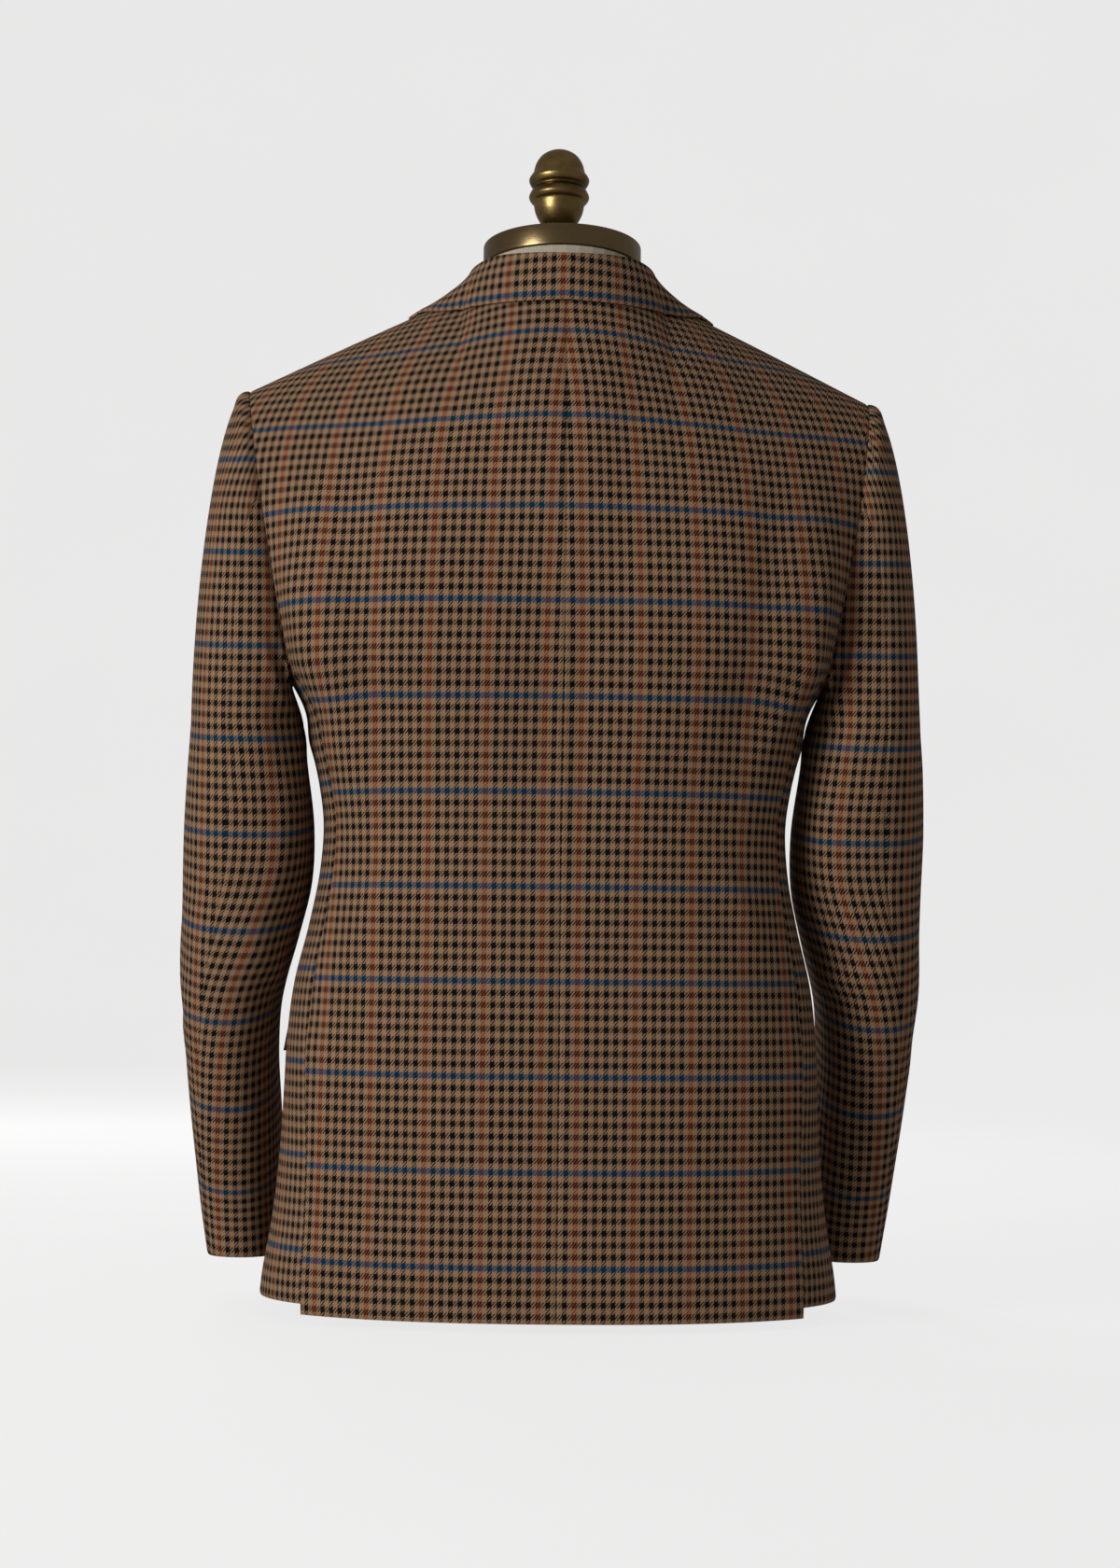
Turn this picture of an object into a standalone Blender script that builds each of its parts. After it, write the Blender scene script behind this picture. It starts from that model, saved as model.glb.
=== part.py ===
"""A sport coat on a counter-top dress form.

Metres, +Z up. The coat faces -Y, its wearer's left is +X, and the origin is the middle of the
flat underside of the form. Every cloth piece is a grid laid on a surface that is worked out from
the tables below, with its wall going inwards from that surface. Angles go round the body from 0
at the centre back (+Y) through 90 at the wearer's left side to 180 at the centre front.
"""

import math

import bmesh
import bpy
import numpy as np
from mathutils import Matrix

# Cloth: its wall, half the gap at a seam, and the gap under a piece that lies on another
WALL = 0.0022
HALF_GAP = 0.00025
LAYER_GAP = 0.0004

# Heights over the surface that the form stands on
BACK_HEM = 0.0075
SIDE_HEM = 0.0150
FRONT_HEM = 0.0130
HEM_BLEND = 0.105
CHEST = 0.490
TOP_BUTTON = 0.395
BUTTON_STEP = 0.105

# Neck, shoulder and underarm
NECK_BACK = (0.0, 0.0800, 0.7640)
NECK_SIDE = (0.0750, 0.0080, 0.7800)
SHOULDER_POINT = (0.2380, -0.0050, 0.7040)
SHOULDER_SAG = -0.0005
UNDERARM_DIP = 0.0130
UNDERARM_TURN = 146.0
GORGE = (0.0660, -0.0300, 0.7700)

# Shares of the panels' tops that belong to the neckline, and where their shoulder seams' mitre
# starts (2 is the seam itself)
NECK_SHARE = 0.32
FRONT_NECK_SHARE = 0.112
MITRE_START = 1.90

# How the body goes on up from the chest line: how much of its flare it keeps, how far it heads up
# at the centre and at the armhole, and how far it spreads outwards and behind or ahead there
FLARE_KEPT = 0.22
BACK_RISE = (0.115, 0.070)
BACK_SPREAD = 0.008
BACK_BEHIND = 0.010
FRONT_RISE = (0.120, 0.065)
FRONT_SPREAD = (0.010, 0.014)
FRONT_AHEAD = (0.002, 0.006)

# How far round the side of the neck the back is eased past its corner, and in how many steps
EASE_REACH = 0.14
EASE_STEPS = 3

# How the back leaves the neckline (place 0 to 0.32) and the shoulder seam (on to 1): how far it
# heads out behind and down. The front leaves its seam level, by its own lengths at the centre and
# the armhole with a fuller middle, and drops only at the gorge.
BACK_SLOPE_COLUMNS = ("place", "behind", "down")
BACK_SLOPE = (
    (0.00, 0.030, 0.060),
    (0.16, 0.046, 0.046),
    (0.32, 0.078, 0.036),
    (0.60, 0.066, 0.022),
    (1.00, 0.056, 0.010),
)
FRONT_LEAVES = (0.048, 0.058)
FRONT_FULL = 0.020
FRONT_DROP = (0.001, 0.040)

# Body sections, hem to chest line
BODY_COLUMNS = ("height", "half_width", "back", "front", "squareness")
BODY = (
    (0.000, 0.2225, 0.1350, 0.1450, 2.30),
    (0.030, 0.2195, 0.1340, 0.1440, 2.30),
    (0.072, 0.2125, 0.1315, 0.1420, 2.30),
    (0.126, 0.2070, 0.1290, 0.1390, 2.30),
    (0.172, 0.2045, 0.1265, 0.1360, 2.35),
    (0.213, 0.2025, 0.1240, 0.1330, 2.35),
    (0.251, 0.1980, 0.1205, 0.1300, 2.35),
    (0.298, 0.1868, 0.1160, 0.1270, 2.40),
    (0.340, 0.1790, 0.1130, 0.1255, 2.40),
    (0.377, 0.1772, 0.1120, 0.1260, 2.40),
    (0.402, 0.1805, 0.1140, 0.1280, 2.45),
    (0.428, 0.1860, 0.1175, 0.1310, 2.50),
    (0.458, 0.1915, 0.1215, 0.1340, 2.70),
    (0.490, 0.2085, 0.1265, 0.1360, 3.00),
)

# Seam between back and side body, in degrees round the body, and the front edge, from the middle
BACK_SEAM_COLUMNS = ("height", "angle")
BACK_SEAM = (
    (0.000, 53.0),
    (0.100, 57.4),
    (0.200, 61.0),
    (0.300, 64.0),
    (0.377, 65.5),
    (0.440, 66.0),
    (0.490, 66.0),
)
FRONT_SEAM_ANGLE = 102.0
FRONT_EDGE_COLUMNS = ("height", "past_middle")
FRONT_EDGE = (
    (0.000, -0.0560),
    (0.070, -0.0400),
    (0.130, -0.0200),
    (0.190, -0.0030),
    (0.250, 0.0110),
    (0.310, 0.0180),
    (0.395, 0.0190),
    (0.440, 0.0080),
    (0.490, -0.0080),
)
FRONT_CORNER = 0.0750
FRONT_CORNER_SHARE = 0.85
PANEL_ACROSS = 0.2000

# How far the right front lies under the left one, and where that starts and is full
UNDERLAP = 0.0070
UNDERLAP_START = 0.0600
UNDERLAP_FULL = 0.0240
UNDERLAP_AHEAD = (0.0200, 0.0800)

# Heights of the grid's rows below the chest line, shared by every body panel
ROWS = (0.0, 0.035, 0.070, 0.105, 0.140, 0.175, 0.205, 0.235, 0.265, 0.298, 0.332, 0.365)
ROWS += (0.395, 0.425, 0.458, 0.490)
UPPER_ROWS = 11

# Columns of the back and front grids: shares of the neckline, then shares of the shoulder seam
NECK_COLUMNS = (0.0, 0.36, 0.70)
SHOULDER_COLUMNS = (0.0, 0.14, 0.30, 0.46, 0.62, 0.76, 0.88, 1.0)

# Sleeve rings below the armhole: inner and outer edge from the middle, and the front-to-back axis
SLEEVE_COLUMNS = ("height", "inner", "outer", "middle", "half_depth", "turn")
SLEEVE = (
    (0.036, 0.2040, 0.2640, -0.0980, 0.0560, 12.0),
    (0.072, 0.2065, 0.2695, -0.0900, 0.0550, 11.0),
    (0.113, 0.2085, 0.2740, -0.0770, 0.0560, 10.0),
    (0.156, 0.2105, 0.2785, -0.0630, 0.0580, 8.0),
    (0.199, 0.2120, 0.2820, -0.0500, 0.0600, 6.0),
    (0.242, 0.2085, 0.2840, -0.0380, 0.0620, 4.0),
    (0.285, 0.1965, 0.2850, -0.0270, 0.0640, 2.0),
    (0.328, 0.1860, 0.2850, -0.0180, 0.0650, 0.0),
    (0.371, 0.1845, 0.2840, -0.0110, 0.0665, 0.0),
    (0.414, 0.1895, 0.2815, -0.0050, 0.0685, 0.0),
    (0.448, 0.1945, 0.2790, -0.0010, 0.0705, 0.0),
)
BICEP = 0.448
SLEEVE_SQUARENESS = 2.25
SLEEVE_RINGS = 11
CAP_RINGS = 7

# Sleeve seams in degrees round the sleeve: behind the arm at the cuff and the armhole, and in
# front of it, with half the gap between the two halves
HINDARM = (42.0, 76.0)
HINDARM_BEND = -0.25
FOREARM = 232.0
SLEEVE_GAP = 0.28

# Sleeve head: how far it stands off the armhole seam, and how its curve heads on up from the arm
# and out from the seam, under the arm and on the outside
ARMHOLE_STANDOFF = 0.0008
HEAD_UP = (0.012, 0.125)
HEAD_IN = 0.001
HEAD_OUT = 0.020
HEAD_SPREAD = 0.010
HEAD_FALL = (-0.004, 0.002)

# Folds of the cloth: a row for each soft ridge (or trough, where the rise is negative) on a panel
FOLD_COLUMNS = ("panel", "s0", "h0", "s1", "h1", "reach", "rise")
FOLD_END = 0.06
FOLD_NARROWING = 2.2
FOLD_TOP = 0.70
FOLDS = (
    ("back", 0.93, 0.60, 0.80, 0.42, 0.050, 0.0045),
    ("back", 0.80, 0.62, 0.68, 0.45, 0.050, -0.0030),
    ("back", 0.95, 0.30, 0.90, 0.02, 0.090, 0.0030),
    ("front", 0.12, 0.60, 0.30, 0.43, 0.060, 0.0045),
)

# Collar, in rows from the centre back (0) over the shoulder seam (1) to the gorge (2): the turned
# edge as degrees, radius and height round the neck, the free edge as a place on the back or front
COLLAR_COLUMNS = ("place", "fold_angle", "fold_radius", "fold_height", "panel_s", "panel_t", "sag")
COLLAR_BACK = (
    (0.00, 0.0, 0.0830, 0.7980, 0.000, 0.990, 0.0),
    (0.25, 24.0, 0.0800, 0.7990, 0.115, 0.965, 0.0),
    (0.48, 45.0, 0.0758, 0.8000, 0.225, 0.924, 0.0008),
    (0.63, 57.0, 0.0742, 0.7993, 0.315, 0.886, 0.0022),
    (0.80, 72.0, 0.0731, 0.7974, 0.388, 0.914, 0.0044),
    (1.00, 86.0, 0.0728, 0.7945, 0.460, 1.000, 0.0055),
)
COLLAR_FRONT = (
    (1.00, 86.0, 0.0728, 0.7945, 0.460, 1.000, 0.0055),
    (1.35, 100.0, 0.0748, 0.7870, 0.740, 0.930, 0.0040),
    (1.70, 116.0, 0.0785, 0.7740, 0.735, 0.830, 0.0015),
    (2.00, 129.0, 0.0835, 0.7550, 0.760, 0.718, 0.0),
)
COLLAR_TURN = 1.35
COLLAR_STANDOFF = 0.0009
COLLAR_ROLL = 0.0030
COLLAR_COUNT = 25

# Collar stand: where it ends, its foot at the centre back, and how far its foot is over the side
# of the neck and under the turned edge at its end
STAND_END = 1.6
STAND_FOOT = 0.7675
STAND_OVER_NECK = 0.0040
STAND_LEAST = 0.0060
STAND_COUNT = 21

# Lapel, in rows up the roll line: how far its free edge is from the line, as a share of the front
LAPEL_COLUMNS = ("rise", "width")
LAPEL = (
    (0.00, 0.030),
    (0.25, 0.170),
    (0.50, 0.260),
    (0.75, 0.330),
    (1.00, 0.390),
)
LAPEL_FOOT = 0.408
LAPEL_START = 0.004
LAPEL_GORGE = 0.820
LAPEL_PEAK = 0.620
LAPEL_STANDOFF = 0.0015
LAPEL_ACROSS = 6
LAPEL_UP = 15

# Pocket flaps and breast welt, in shares of the front panel
FLAP_TOP = 0.2480
FLAP_FOOT = 0.1980
FLAP_SPAN = (0.012, 0.520)
WELT_SPAN = (0.300, 0.560)
WELT_RISE = (1.300, 1.375)
GRID_REACH = 0.004

# Buttons
BUTTON_RADIUS = 0.0100
BUTTON_THICK = 0.0032
BUTTON_RIM = 0.0016
BUTTON_DISH = 0.0008
BUTTON_STANDOFF = 0.0015

# Form: level sections from its flat underside to the neck, and the hard parts on top of it
FORM_COLUMNS = ("height", "half_width", "back", "front", "squareness", "shoulder", "tilt")
FORM = (
    (0.000, 0.1500, 0.0680, 0.0850, 2.2, 0.0000, 0.0),
    (0.030, 0.1650, 0.0850, 0.0990, 2.2, 0.0000, 0.0),
    (0.070, 0.1720, 0.0940, 0.1040, 2.2, 0.0000, 0.0),
    (0.130, 0.1740, 0.0980, 0.1060, 2.2, 0.0000, 0.0),
    (0.200, 0.1700, 0.0980, 0.1060, 2.2, 0.0000, 0.0),
    (0.270, 0.1630, 0.0970, 0.1060, 2.2, 0.0000, 0.0),
    (0.330, 0.1580, 0.0970, 0.1060, 2.2, 0.0000, 0.0),
    (0.380, 0.1590, 0.0980, 0.1080, 2.2, 0.0000, 0.0),
    (0.430, 0.1680, 0.1020, 0.1130, 2.2, 0.0000, 0.0),
    (0.490, 0.1800, 0.1090, 0.1160, 2.3, 0.0000, 0.0),
    (0.550, 0.1880, 0.1110, 0.1120, 2.2, 0.0000, 0.0),
    (0.600, 0.1910, 0.1080, 0.1020, 2.1, 0.0000, 0.0),
    (0.640, 0.1880, 0.1000, 0.0920, 2.0, 0.0030, 0.0),
    (0.670, 0.1760, 0.0950, 0.0810, 2.0, 0.0130, 0.0),
    (0.695, 0.1480, 0.0880, 0.0720, 2.0, 0.0390, 0.0),
    (0.715, 0.1150, 0.0840, 0.0680, 2.0, 0.0735, 0.0),
    (0.725, 0.0950, 0.0790, 0.0650, 2.0, 0.0800, 0.0),
    (0.736, 0.0800, 0.0740, 0.0620, 2.0, 0.0730, 0.0),
    (0.746, 0.0700, 0.0690, 0.0600, 2.0, 0.0620, 0.0),
    (0.7564, 0.0645, 0.0640, 0.0590, 2.0, 0.0470, 0.1),
    (0.7684, 0.0605, 0.0610, 0.0580, 2.0, 0.0080, 0.3),
    (0.782, 0.0590, 0.0595, 0.0585, 2.0, 0.0000, 0.7),
    (0.802, 0.0590, 0.0590, 0.0590, 2.0, 0.0000, 1.0),
)
FORM_SHOULDER_POWER = 10
FORM_SIDES = 36
NECK_RADIUS = 0.0605
NECK_TILT = 6.5
CAP_FOOT = 0.8024
CAP_THICK = 0.0165
CAP_EDGE = 0.0010
CAP_SIDES = 40
FINIAL_SIDES = 24
FINIAL_ASIDE = 0.0028
FINIAL_COLUMNS = ("radius", "height")
FINIAL = (
    (0.0000, 0.8968),
    (0.0075, 0.8955),
    (0.0140, 0.8915),
    (0.0180, 0.8855),
    (0.0200, 0.8783),
    (0.0218, 0.8757),
    (0.0232, 0.8727),
    (0.0218, 0.8690),
    (0.0197, 0.8665),
    (0.0218, 0.8630),
    (0.0232, 0.8592),
    (0.0218, 0.8562),
    (0.0197, 0.8539),
    (0.0180, 0.8465),
    (0.0140, 0.8390),
    (0.0085, 0.8345),
    (0.0057, 0.8325),
    (0.0057, 0.8193),
    (0.0000, 0.8193),
)

COLOURS = {
    "check cloth": ((0.118, 0.078, 0.050), 0.92, 0.0),
    "linen": ((0.480, 0.430, 0.350), 0.90, 0.0),
    "brushed brass": ((0.640, 0.470, 0.210), 0.36, 1.0),
    "aged brass": ((0.420, 0.290, 0.120), 0.42, 1.0),
    "horn": ((0.090, 0.050, 0.028), 0.35, 0.0),
}


def shoulder_grid(neck, reverse):
    """The columns of a grid that share their places along the shoulder seam with the other one."""
    line = [share * neck for share in NECK_COLUMNS]
    line += [neck + share * (1 - neck) for share in SHOULDER_COLUMNS]
    return np.array([1 - place for place in reversed(line)] if reverse else line)


BACK_GRID = shoulder_grid(NECK_SHARE, False)
FRONT_GRID = shoulder_grid(FRONT_NECK_SHARE, True)


def column(rows, names, name):
    """A smooth curve through one named column of a table, over the table's first column."""
    place = names.index(name)
    at = np.array([row[0] for row in rows])
    value = np.array([row[place] for row in rows])
    slope = np.gradient(value, at)

    def read(x):
        x = np.clip(x, at[0], at[-1])
        k = np.clip(np.searchsorted(at, x, side="right") - 1, 0, len(at) - 2)
        step = at[k + 1] - at[k]
        f = (x - at[k]) / step
        low = value[k] * (1 + 2 * f) * (1 - f) ** 2 + slope[k] * step * f * (1 - f) ** 2
        high = value[k + 1] * f * f * (3 - 2 * f) + slope[k + 1] * step * f * f * (f - 1)
        return low + high

    return read


half_width = column(BODY, BODY_COLUMNS, "half_width")
back_depth = column(BODY, BODY_COLUMNS, "back")
front_depth = column(BODY, BODY_COLUMNS, "front")
squareness = column(BODY, BODY_COLUMNS, "squareness")
back_seam = column(BACK_SEAM, BACK_SEAM_COLUMNS, "angle")
past_middle = column(FRONT_EDGE, FRONT_EDGE_COLUMNS, "past_middle")
slope_behind = column(BACK_SLOPE, BACK_SLOPE_COLUMNS, "behind")
slope_down = column(BACK_SLOPE, BACK_SLOPE_COLUMNS, "down")
sleeve_inner = column(SLEEVE, SLEEVE_COLUMNS, "inner")
sleeve_outer = column(SLEEVE, SLEEVE_COLUMNS, "outer")
sleeve_middle = column(SLEEVE, SLEEVE_COLUMNS, "middle")
sleeve_half_depth = column(SLEEVE, SLEEVE_COLUMNS, "half_depth")
sleeve_turn = column(SLEEVE, SLEEVE_COLUMNS, "turn")


def smooth(x, start, end):
    """0 before start, 1 after end, with a soft step between them."""
    f = np.clip((x - start) / (end - start), 0.0, 1.0)
    return f * f * (3 - 2 * f)


def mix(a, b, share):
    return a + (b - a) * share


def point(x, y, z):
    return np.stack(np.broadcast_arrays(x, y, z), axis=-1).astype(float)


def section_point(angle, height):
    """A point of the coat's outer surface below the chest line."""
    n = squareness(height)
    reach = (np.abs(np.sin(angle)) ** n + np.abs(np.cos(angle)) ** n) ** (-1 / n)
    depth = np.where(np.cos(angle) > 0, back_depth(height), front_depth(height))
    return point(
        half_width(height) * reach * np.sin(angle), depth * reach * np.cos(angle), height
    )


def front_edge_angle(height):
    """Where the front's free edge is, round the body."""
    n = squareness(height)
    across = -past_middle(height) / half_width(height)
    return math.pi - np.arctan2(across, (1 - np.abs(across) ** n) ** (1 / n))


def hem_height(height, hem):
    """Moves the rows near the hem so that the lowest one is on the hem's own line."""
    return np.where(height < HEM_BLEND, mix(hem, HEM_BLEND, height / HEM_BLEND), height)


def gap_angle(angle, height):
    across = section_point(angle, height)
    return HALF_GAP / np.hypot(across[..., 0], across[..., 1])


def bezier(a, b, c, d, t):
    t = np.asarray(t)[..., None]
    return a * (1 - t) ** 3 + b * 3 * t * (1 - t) ** 2 + c * 3 * t * t * (1 - t) + d * t**3


def shoulder_point(share):
    """A point on the shoulder seam, from the side of the neck to the shoulder's end."""
    ends = np.array(NECK_SIDE), np.array(SHOULDER_POINT)
    p = mix(ends[0], ends[1], np.asarray(share)[..., None])
    p[..., 2] -= SHOULDER_SAG * np.sin(math.pi * share)
    return p


def back_neck_point(share):
    """A point on the back's neckline, from the centre back to the side of the neck."""
    turn = share * math.pi / 2
    x = NECK_SIDE[0] * np.sin(turn)
    y = mix(NECK_SIDE[1], NECK_BACK[1], np.cos(turn))
    return point(x, y, mix(NECK_BACK[2], NECK_SIDE[2], share**2))


def rise_tangent(angle, length):
    """The way the body's surface goes on up at the chest line."""
    step = 0.004
    chest = np.full(np.shape(angle), CHEST)
    low = section_point(angle, chest - step)
    high = section_point(angle, chest)
    way = high - low
    way[..., :2] *= FLARE_KEPT
    return way / way[..., 2:] * np.asarray(length)[..., None]


def back_top(s):
    """A point on the back's top edge: its neckline, then its shoulder seam."""
    neck = back_neck_point(np.clip(s / NECK_SHARE, 0, 1))
    ridge = shoulder_point(np.clip((s - NECK_SHARE) / (1 - NECK_SHARE), 0, 1))
    top = np.where((s < NECK_SHARE)[..., None], neck, ridge)
    top[..., 0] += HALF_GAP * (1 - np.clip(s / NECK_SHARE, 0, 1))
    top[..., 1] += HALF_GAP
    return top


def eased_back_top(s):
    """The back's top edge with the corner at the side of the neck rounded off."""
    reach = np.minimum(EASE_REACH, np.minimum(s, 1 - s))
    weight = 1 + EASE_STEPS - np.abs(np.arange(-EASE_STEPS, EASE_STEPS + 1))
    eased = 0.0
    for k, share in enumerate(weight / weight.sum()):
        eased = eased + back_top(s + reach * (k / EASE_STEPS - 1)) * share
    return eased


def back_upper(s, t):
    """The back from the chest line (t 0) to the neckline and shoulder seam (t 1)."""
    seam = np.radians(back_seam(CHEST))
    chest = np.full(np.shape(s), CHEST)
    start = mix(gap_angle(0.0, CHEST), seam, s)
    foot = section_point(start, chest)
    up = rise_tangent(start, mix(*BACK_RISE, s))
    up[..., 0] += BACK_SPREAD * s
    up[..., 1] += BACK_BEHIND
    down = point(0.0, slope_behind(s), -slope_down(s))
    return bezier(foot, foot + up, eased_back_top(s) + down, back_top(s), t)


def front_upper(s, t):
    """The front from the chest line (t 0) to the shoulder seam and the roll line (t 1)."""
    seam = math.radians(FRONT_SEAM_ANGLE)
    chest = np.full(np.shape(s), CHEST)
    start = mix(seam, front_edge_angle(chest), s)
    foot = section_point(start, chest)
    share = np.clip((1 - s - FRONT_NECK_SHARE) / (1 - FRONT_NECK_SHARE), 0, 1)
    ridge = shoulder_point(share)
    turn = np.clip((1 - s) / FRONT_NECK_SHARE, 0, 1)
    gorge = mix(np.array(GORGE), np.array(NECK_SIDE), turn[..., None])
    top = np.where((1 - s < FRONT_NECK_SHARE)[..., None], gorge, ridge)
    top[..., 1] -= HALF_GAP
    inwards = 1 - s
    up = rise_tangent(start, mix(*FRONT_RISE, inwards))
    up[..., 0] += mix(*FRONT_SPREAD, inwards)
    up[..., 1] -= mix(*FRONT_AHEAD, inwards)
    ahead = mix(*FRONT_LEAVES, inwards) + FRONT_FULL * np.sin(math.pi * np.clip(s, 0, 1))
    drop = mix(*FRONT_DROP, smooth(s, 1 - FRONT_NECK_SHARE, 1.0))
    down = point(0.0, -ahead, -drop)
    return bezier(foot, foot + up, top + down, top, t)


def fold_rise(panel, s, height):
    """How far the soft folds lift the cloth of a panel."""
    rise = np.zeros(np.broadcast(s, height).shape)
    for name, s0, h0, s1, h1, reach, lift in FOLDS:
        if name != panel:
            continue
        x = (s - s0) * PANEL_ACROSS
        y = height - h0
        along_x = (s1 - s0) * PANEL_ACROSS
        along_y = h1 - h0
        length = math.hypot(along_x, along_y)
        along = (x * along_x + y * along_y) / length
        across = (x * along_y - y * along_x) / length
        end = smooth(along, -FOLD_END, FOLD_END) * smooth(length - along, -FOLD_END, FOLD_END)
        rise = rise + lift * end * np.exp(-((across / reach * FOLD_NARROWING) ** 2))
    return rise


def back_surface(s, h):
    """The back: h from 0 to 1 is the height up to the chest line, and from 1 to 2 the rest."""
    height = hem_height(np.clip(h, 0, 1) * CHEST, BACK_HEM)
    seam = np.radians(back_seam(height))
    start = gap_angle(0.0, height)
    angle = mix(start, seam - gap_angle(seam, height), s)
    low = section_point(angle, height)
    high = back_upper(s, np.clip(h - 1, 0, 1))
    return np.where((h > 1)[..., None], high, low)


def side_surface(s, h):
    """The side body, from the back seam to the front seam, with its underlap at the vent."""
    middle = np.clip(h, 0, 1) * CHEST
    dip = UNDERARM_DIP * np.sin(math.pi * np.clip(s, 0, 1)) ** 1.5 * smooth(h, 0.86, 1.0)
    height = hem_height(middle, SIDE_HEM) - dip
    seam = np.radians(back_seam(height))
    low = seam + gap_angle(seam, height)
    end = math.radians(FRONT_SEAM_ANGLE)
    angle = mix(low, end - gap_angle(end, height), s)
    return section_point(angle, height)


def front_surface(s, h, under=False):
    """A front, from the side seam to its free edge and its roll line."""
    raw = np.clip(h, 0, 1) * CHEST
    seam = math.radians(FRONT_SEAM_ANGLE)
    near = np.clip(1 - (1 - s) * PANEL_ACROSS / FRONT_CORNER, 0, 1)
    lift = FRONT_CORNER * (1 - np.sqrt(np.clip(1 - near**2, 0, 1))) * FRONT_CORNER_SHARE
    hem = mix(SIDE_HEM, FRONT_HEM, s) + lift
    height = hem_height(raw, hem)
    edge = front_edge_angle(height)
    angle = mix(seam + gap_angle(seam, height), edge, s)
    low = section_point(angle, height)
    high = front_upper(s, np.clip(h - 1, 0, 1))
    p = np.where((h > 1)[..., None], high, low)
    if under:
        inward = UNDERLAP * smooth(-p[..., 0], -UNDERLAP_START, -UNDERLAP_FULL)
        inward = inward * smooth(-p[..., 1], *UNDERLAP_AHEAD)
        p = p + point(0.0, inward, 0.0)
    return p


def normals(surface, s, h, mitred=False, step=1e-4):
    """The way through a surface's cloth, which is upright at a mitred shoulder seam (h 2)."""
    inside = np.clip(h, 3 * step, 2 - 3 * step)
    across = surface(s + step, inside) - surface(s - step, inside)
    along = surface(s, inside + step) - surface(s, inside - step)
    way = np.cross(across, along)
    if mitred:
        way[..., 1] *= 1 - smooth(h, MITRE_START, 2.0)
    return way / np.linalg.norm(way, axis=-1, keepdims=True)


def mesh_object(name, bm, colour):
    """Puts a finished bmesh into the part's collection as a named object."""
    mesh = bpy.data.meshes.new(name)
    bm.to_mesh(mesh)
    bm.free()
    obj = bpy.data.objects.new(name, mesh)
    part.objects.link(obj)
    mesh.materials.append(materials[colour])
    mesh.shade_smooth()
    mesh.set_sharp_from_angle(angle=math.radians(40))
    return obj


def cloth(name, surface, across, along, flip=1, side=1, out=0.0, mitred=False):
    """A cloth piece on a surface: a grid, extruded inwards to its wall's thickness.

    across and along are the grid's columns and rows, flip turns the surface's own direction
    outwards, side mirrors the piece, and out lifts it off the surface."""
    across = np.asarray(across, float)
    along = np.asarray(along, float)
    bm = bmesh.new()
    u = bm.verts.layers.float.new("u")
    v = bm.verts.layers.float.new("v")
    columns = len(across) - 1
    rows = len(along) - 1
    bmesh.ops.create_grid(bm, x_segments=columns, y_segments=rows, size=1.0)
    for vert in bm.verts:
        vert[u] = across[round((vert.co.x + 1) / 2 * columns)]
        vert[v] = along[round((vert.co.y + 1) / 2 * rows)]
    outer = list(bm.verts)
    made = bmesh.ops.extrude_face_region(bm, geom=bm.faces[:])
    inner = [item for item in made["geom"] if isinstance(item, bmesh.types.BMVert)]
    for verts, depth in ((outer, -out), (inner, WALL - out)):
        s = np.array([vert[u] for vert in verts])
        h = np.array([vert[v] for vert in verts])
        place = surface(s, h) - normals(surface, s, h, mitred) * depth * flip
        place[:, 0] *= side
        for vert, co in zip(verts, place):
            vert.co = co
    if bm.calc_volume(signed=True) < 0:
        bmesh.ops.reverse_faces(bm, faces=bm.faces[:])
    return mesh_object(name, bm, "check cloth")


def lifted(panel, surface, flip):
    """A surface with the soft folds of its panel added."""

    def place(s, h):
        height = np.where(h > 1, mix(CHEST, FOLD_TOP, h - 1), h * CHEST)
        rise = fold_rise(panel, s, height) * smooth(s, -0.02, 0.10) * smooth(1 - s, -0.02, 0.04)
        return surface(s, h) + normals(surface, s, h) * rise[..., None] * flip

    return place


def armhole_point(angle):
    """A point on the armhole seam: 0 at the shoulder, 90 at the back, 180 under the arm."""
    turn = np.degrees(np.mod(angle, 2 * math.pi))
    bend = UNDERARM_TURN
    back_share = np.clip(1 - turn / bend, 0, 1)
    front_share = np.clip(1 - (360 - turn) / bend, 0, 1)
    under = np.clip((turn - bend) / (360 - 2 * bend), 0, 1)
    back = back_upper(np.ones_like(turn), back_share)
    front = front_upper(np.zeros_like(turn), front_share)
    dip = side_surface(under, np.ones_like(turn))
    p = np.where((turn < bend)[..., None], back, dip)
    return np.where((turn > 360 - bend)[..., None], front, p)


def sleeve_ring(angle, height):
    """A point of the sleeve below the armhole: 0 outside, 90 at the back, 180 against the body."""
    n = SLEEVE_SQUARENESS
    reach = (np.abs(np.sin(angle)) ** n + np.abs(np.cos(angle)) ** n) ** (-1 / n)
    half = (sleeve_outer(height) - sleeve_inner(height)) / 2
    x = half * reach * np.cos(angle)
    y = sleeve_half_depth(height) * reach * np.sin(angle)
    turn = np.radians(sleeve_turn(height))
    middle = (sleeve_outer(height) + sleeve_inner(height)) / 2
    across = middle + x * np.cos(turn) + y * np.sin(turn)
    return point(across, sleeve_middle(height) - x * np.sin(turn) + y * np.cos(turn), height)


def hindarm(h):
    """The seam at the back of the sleeve, in degrees round it, nearer the outside at the cuff."""
    return mix(*HINDARM, smooth(h, HINDARM_BEND, 1.0))


def top_sleeve(share, h):
    """The top sleeve, from the seam at the front of the arm over the outside to the hindarm."""
    low = FOREARM - 360 + SLEEVE_GAP
    return sleeve_surface(mix(low, hindarm(h) - SLEEVE_GAP, share), h)


def under_sleeve(share, h):
    """The under sleeve, from the hindarm seam past the body to the seam at the front."""
    return sleeve_surface(mix(hindarm(h) + SLEEVE_GAP, FOREARM - SLEEVE_GAP, share), h)


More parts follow.
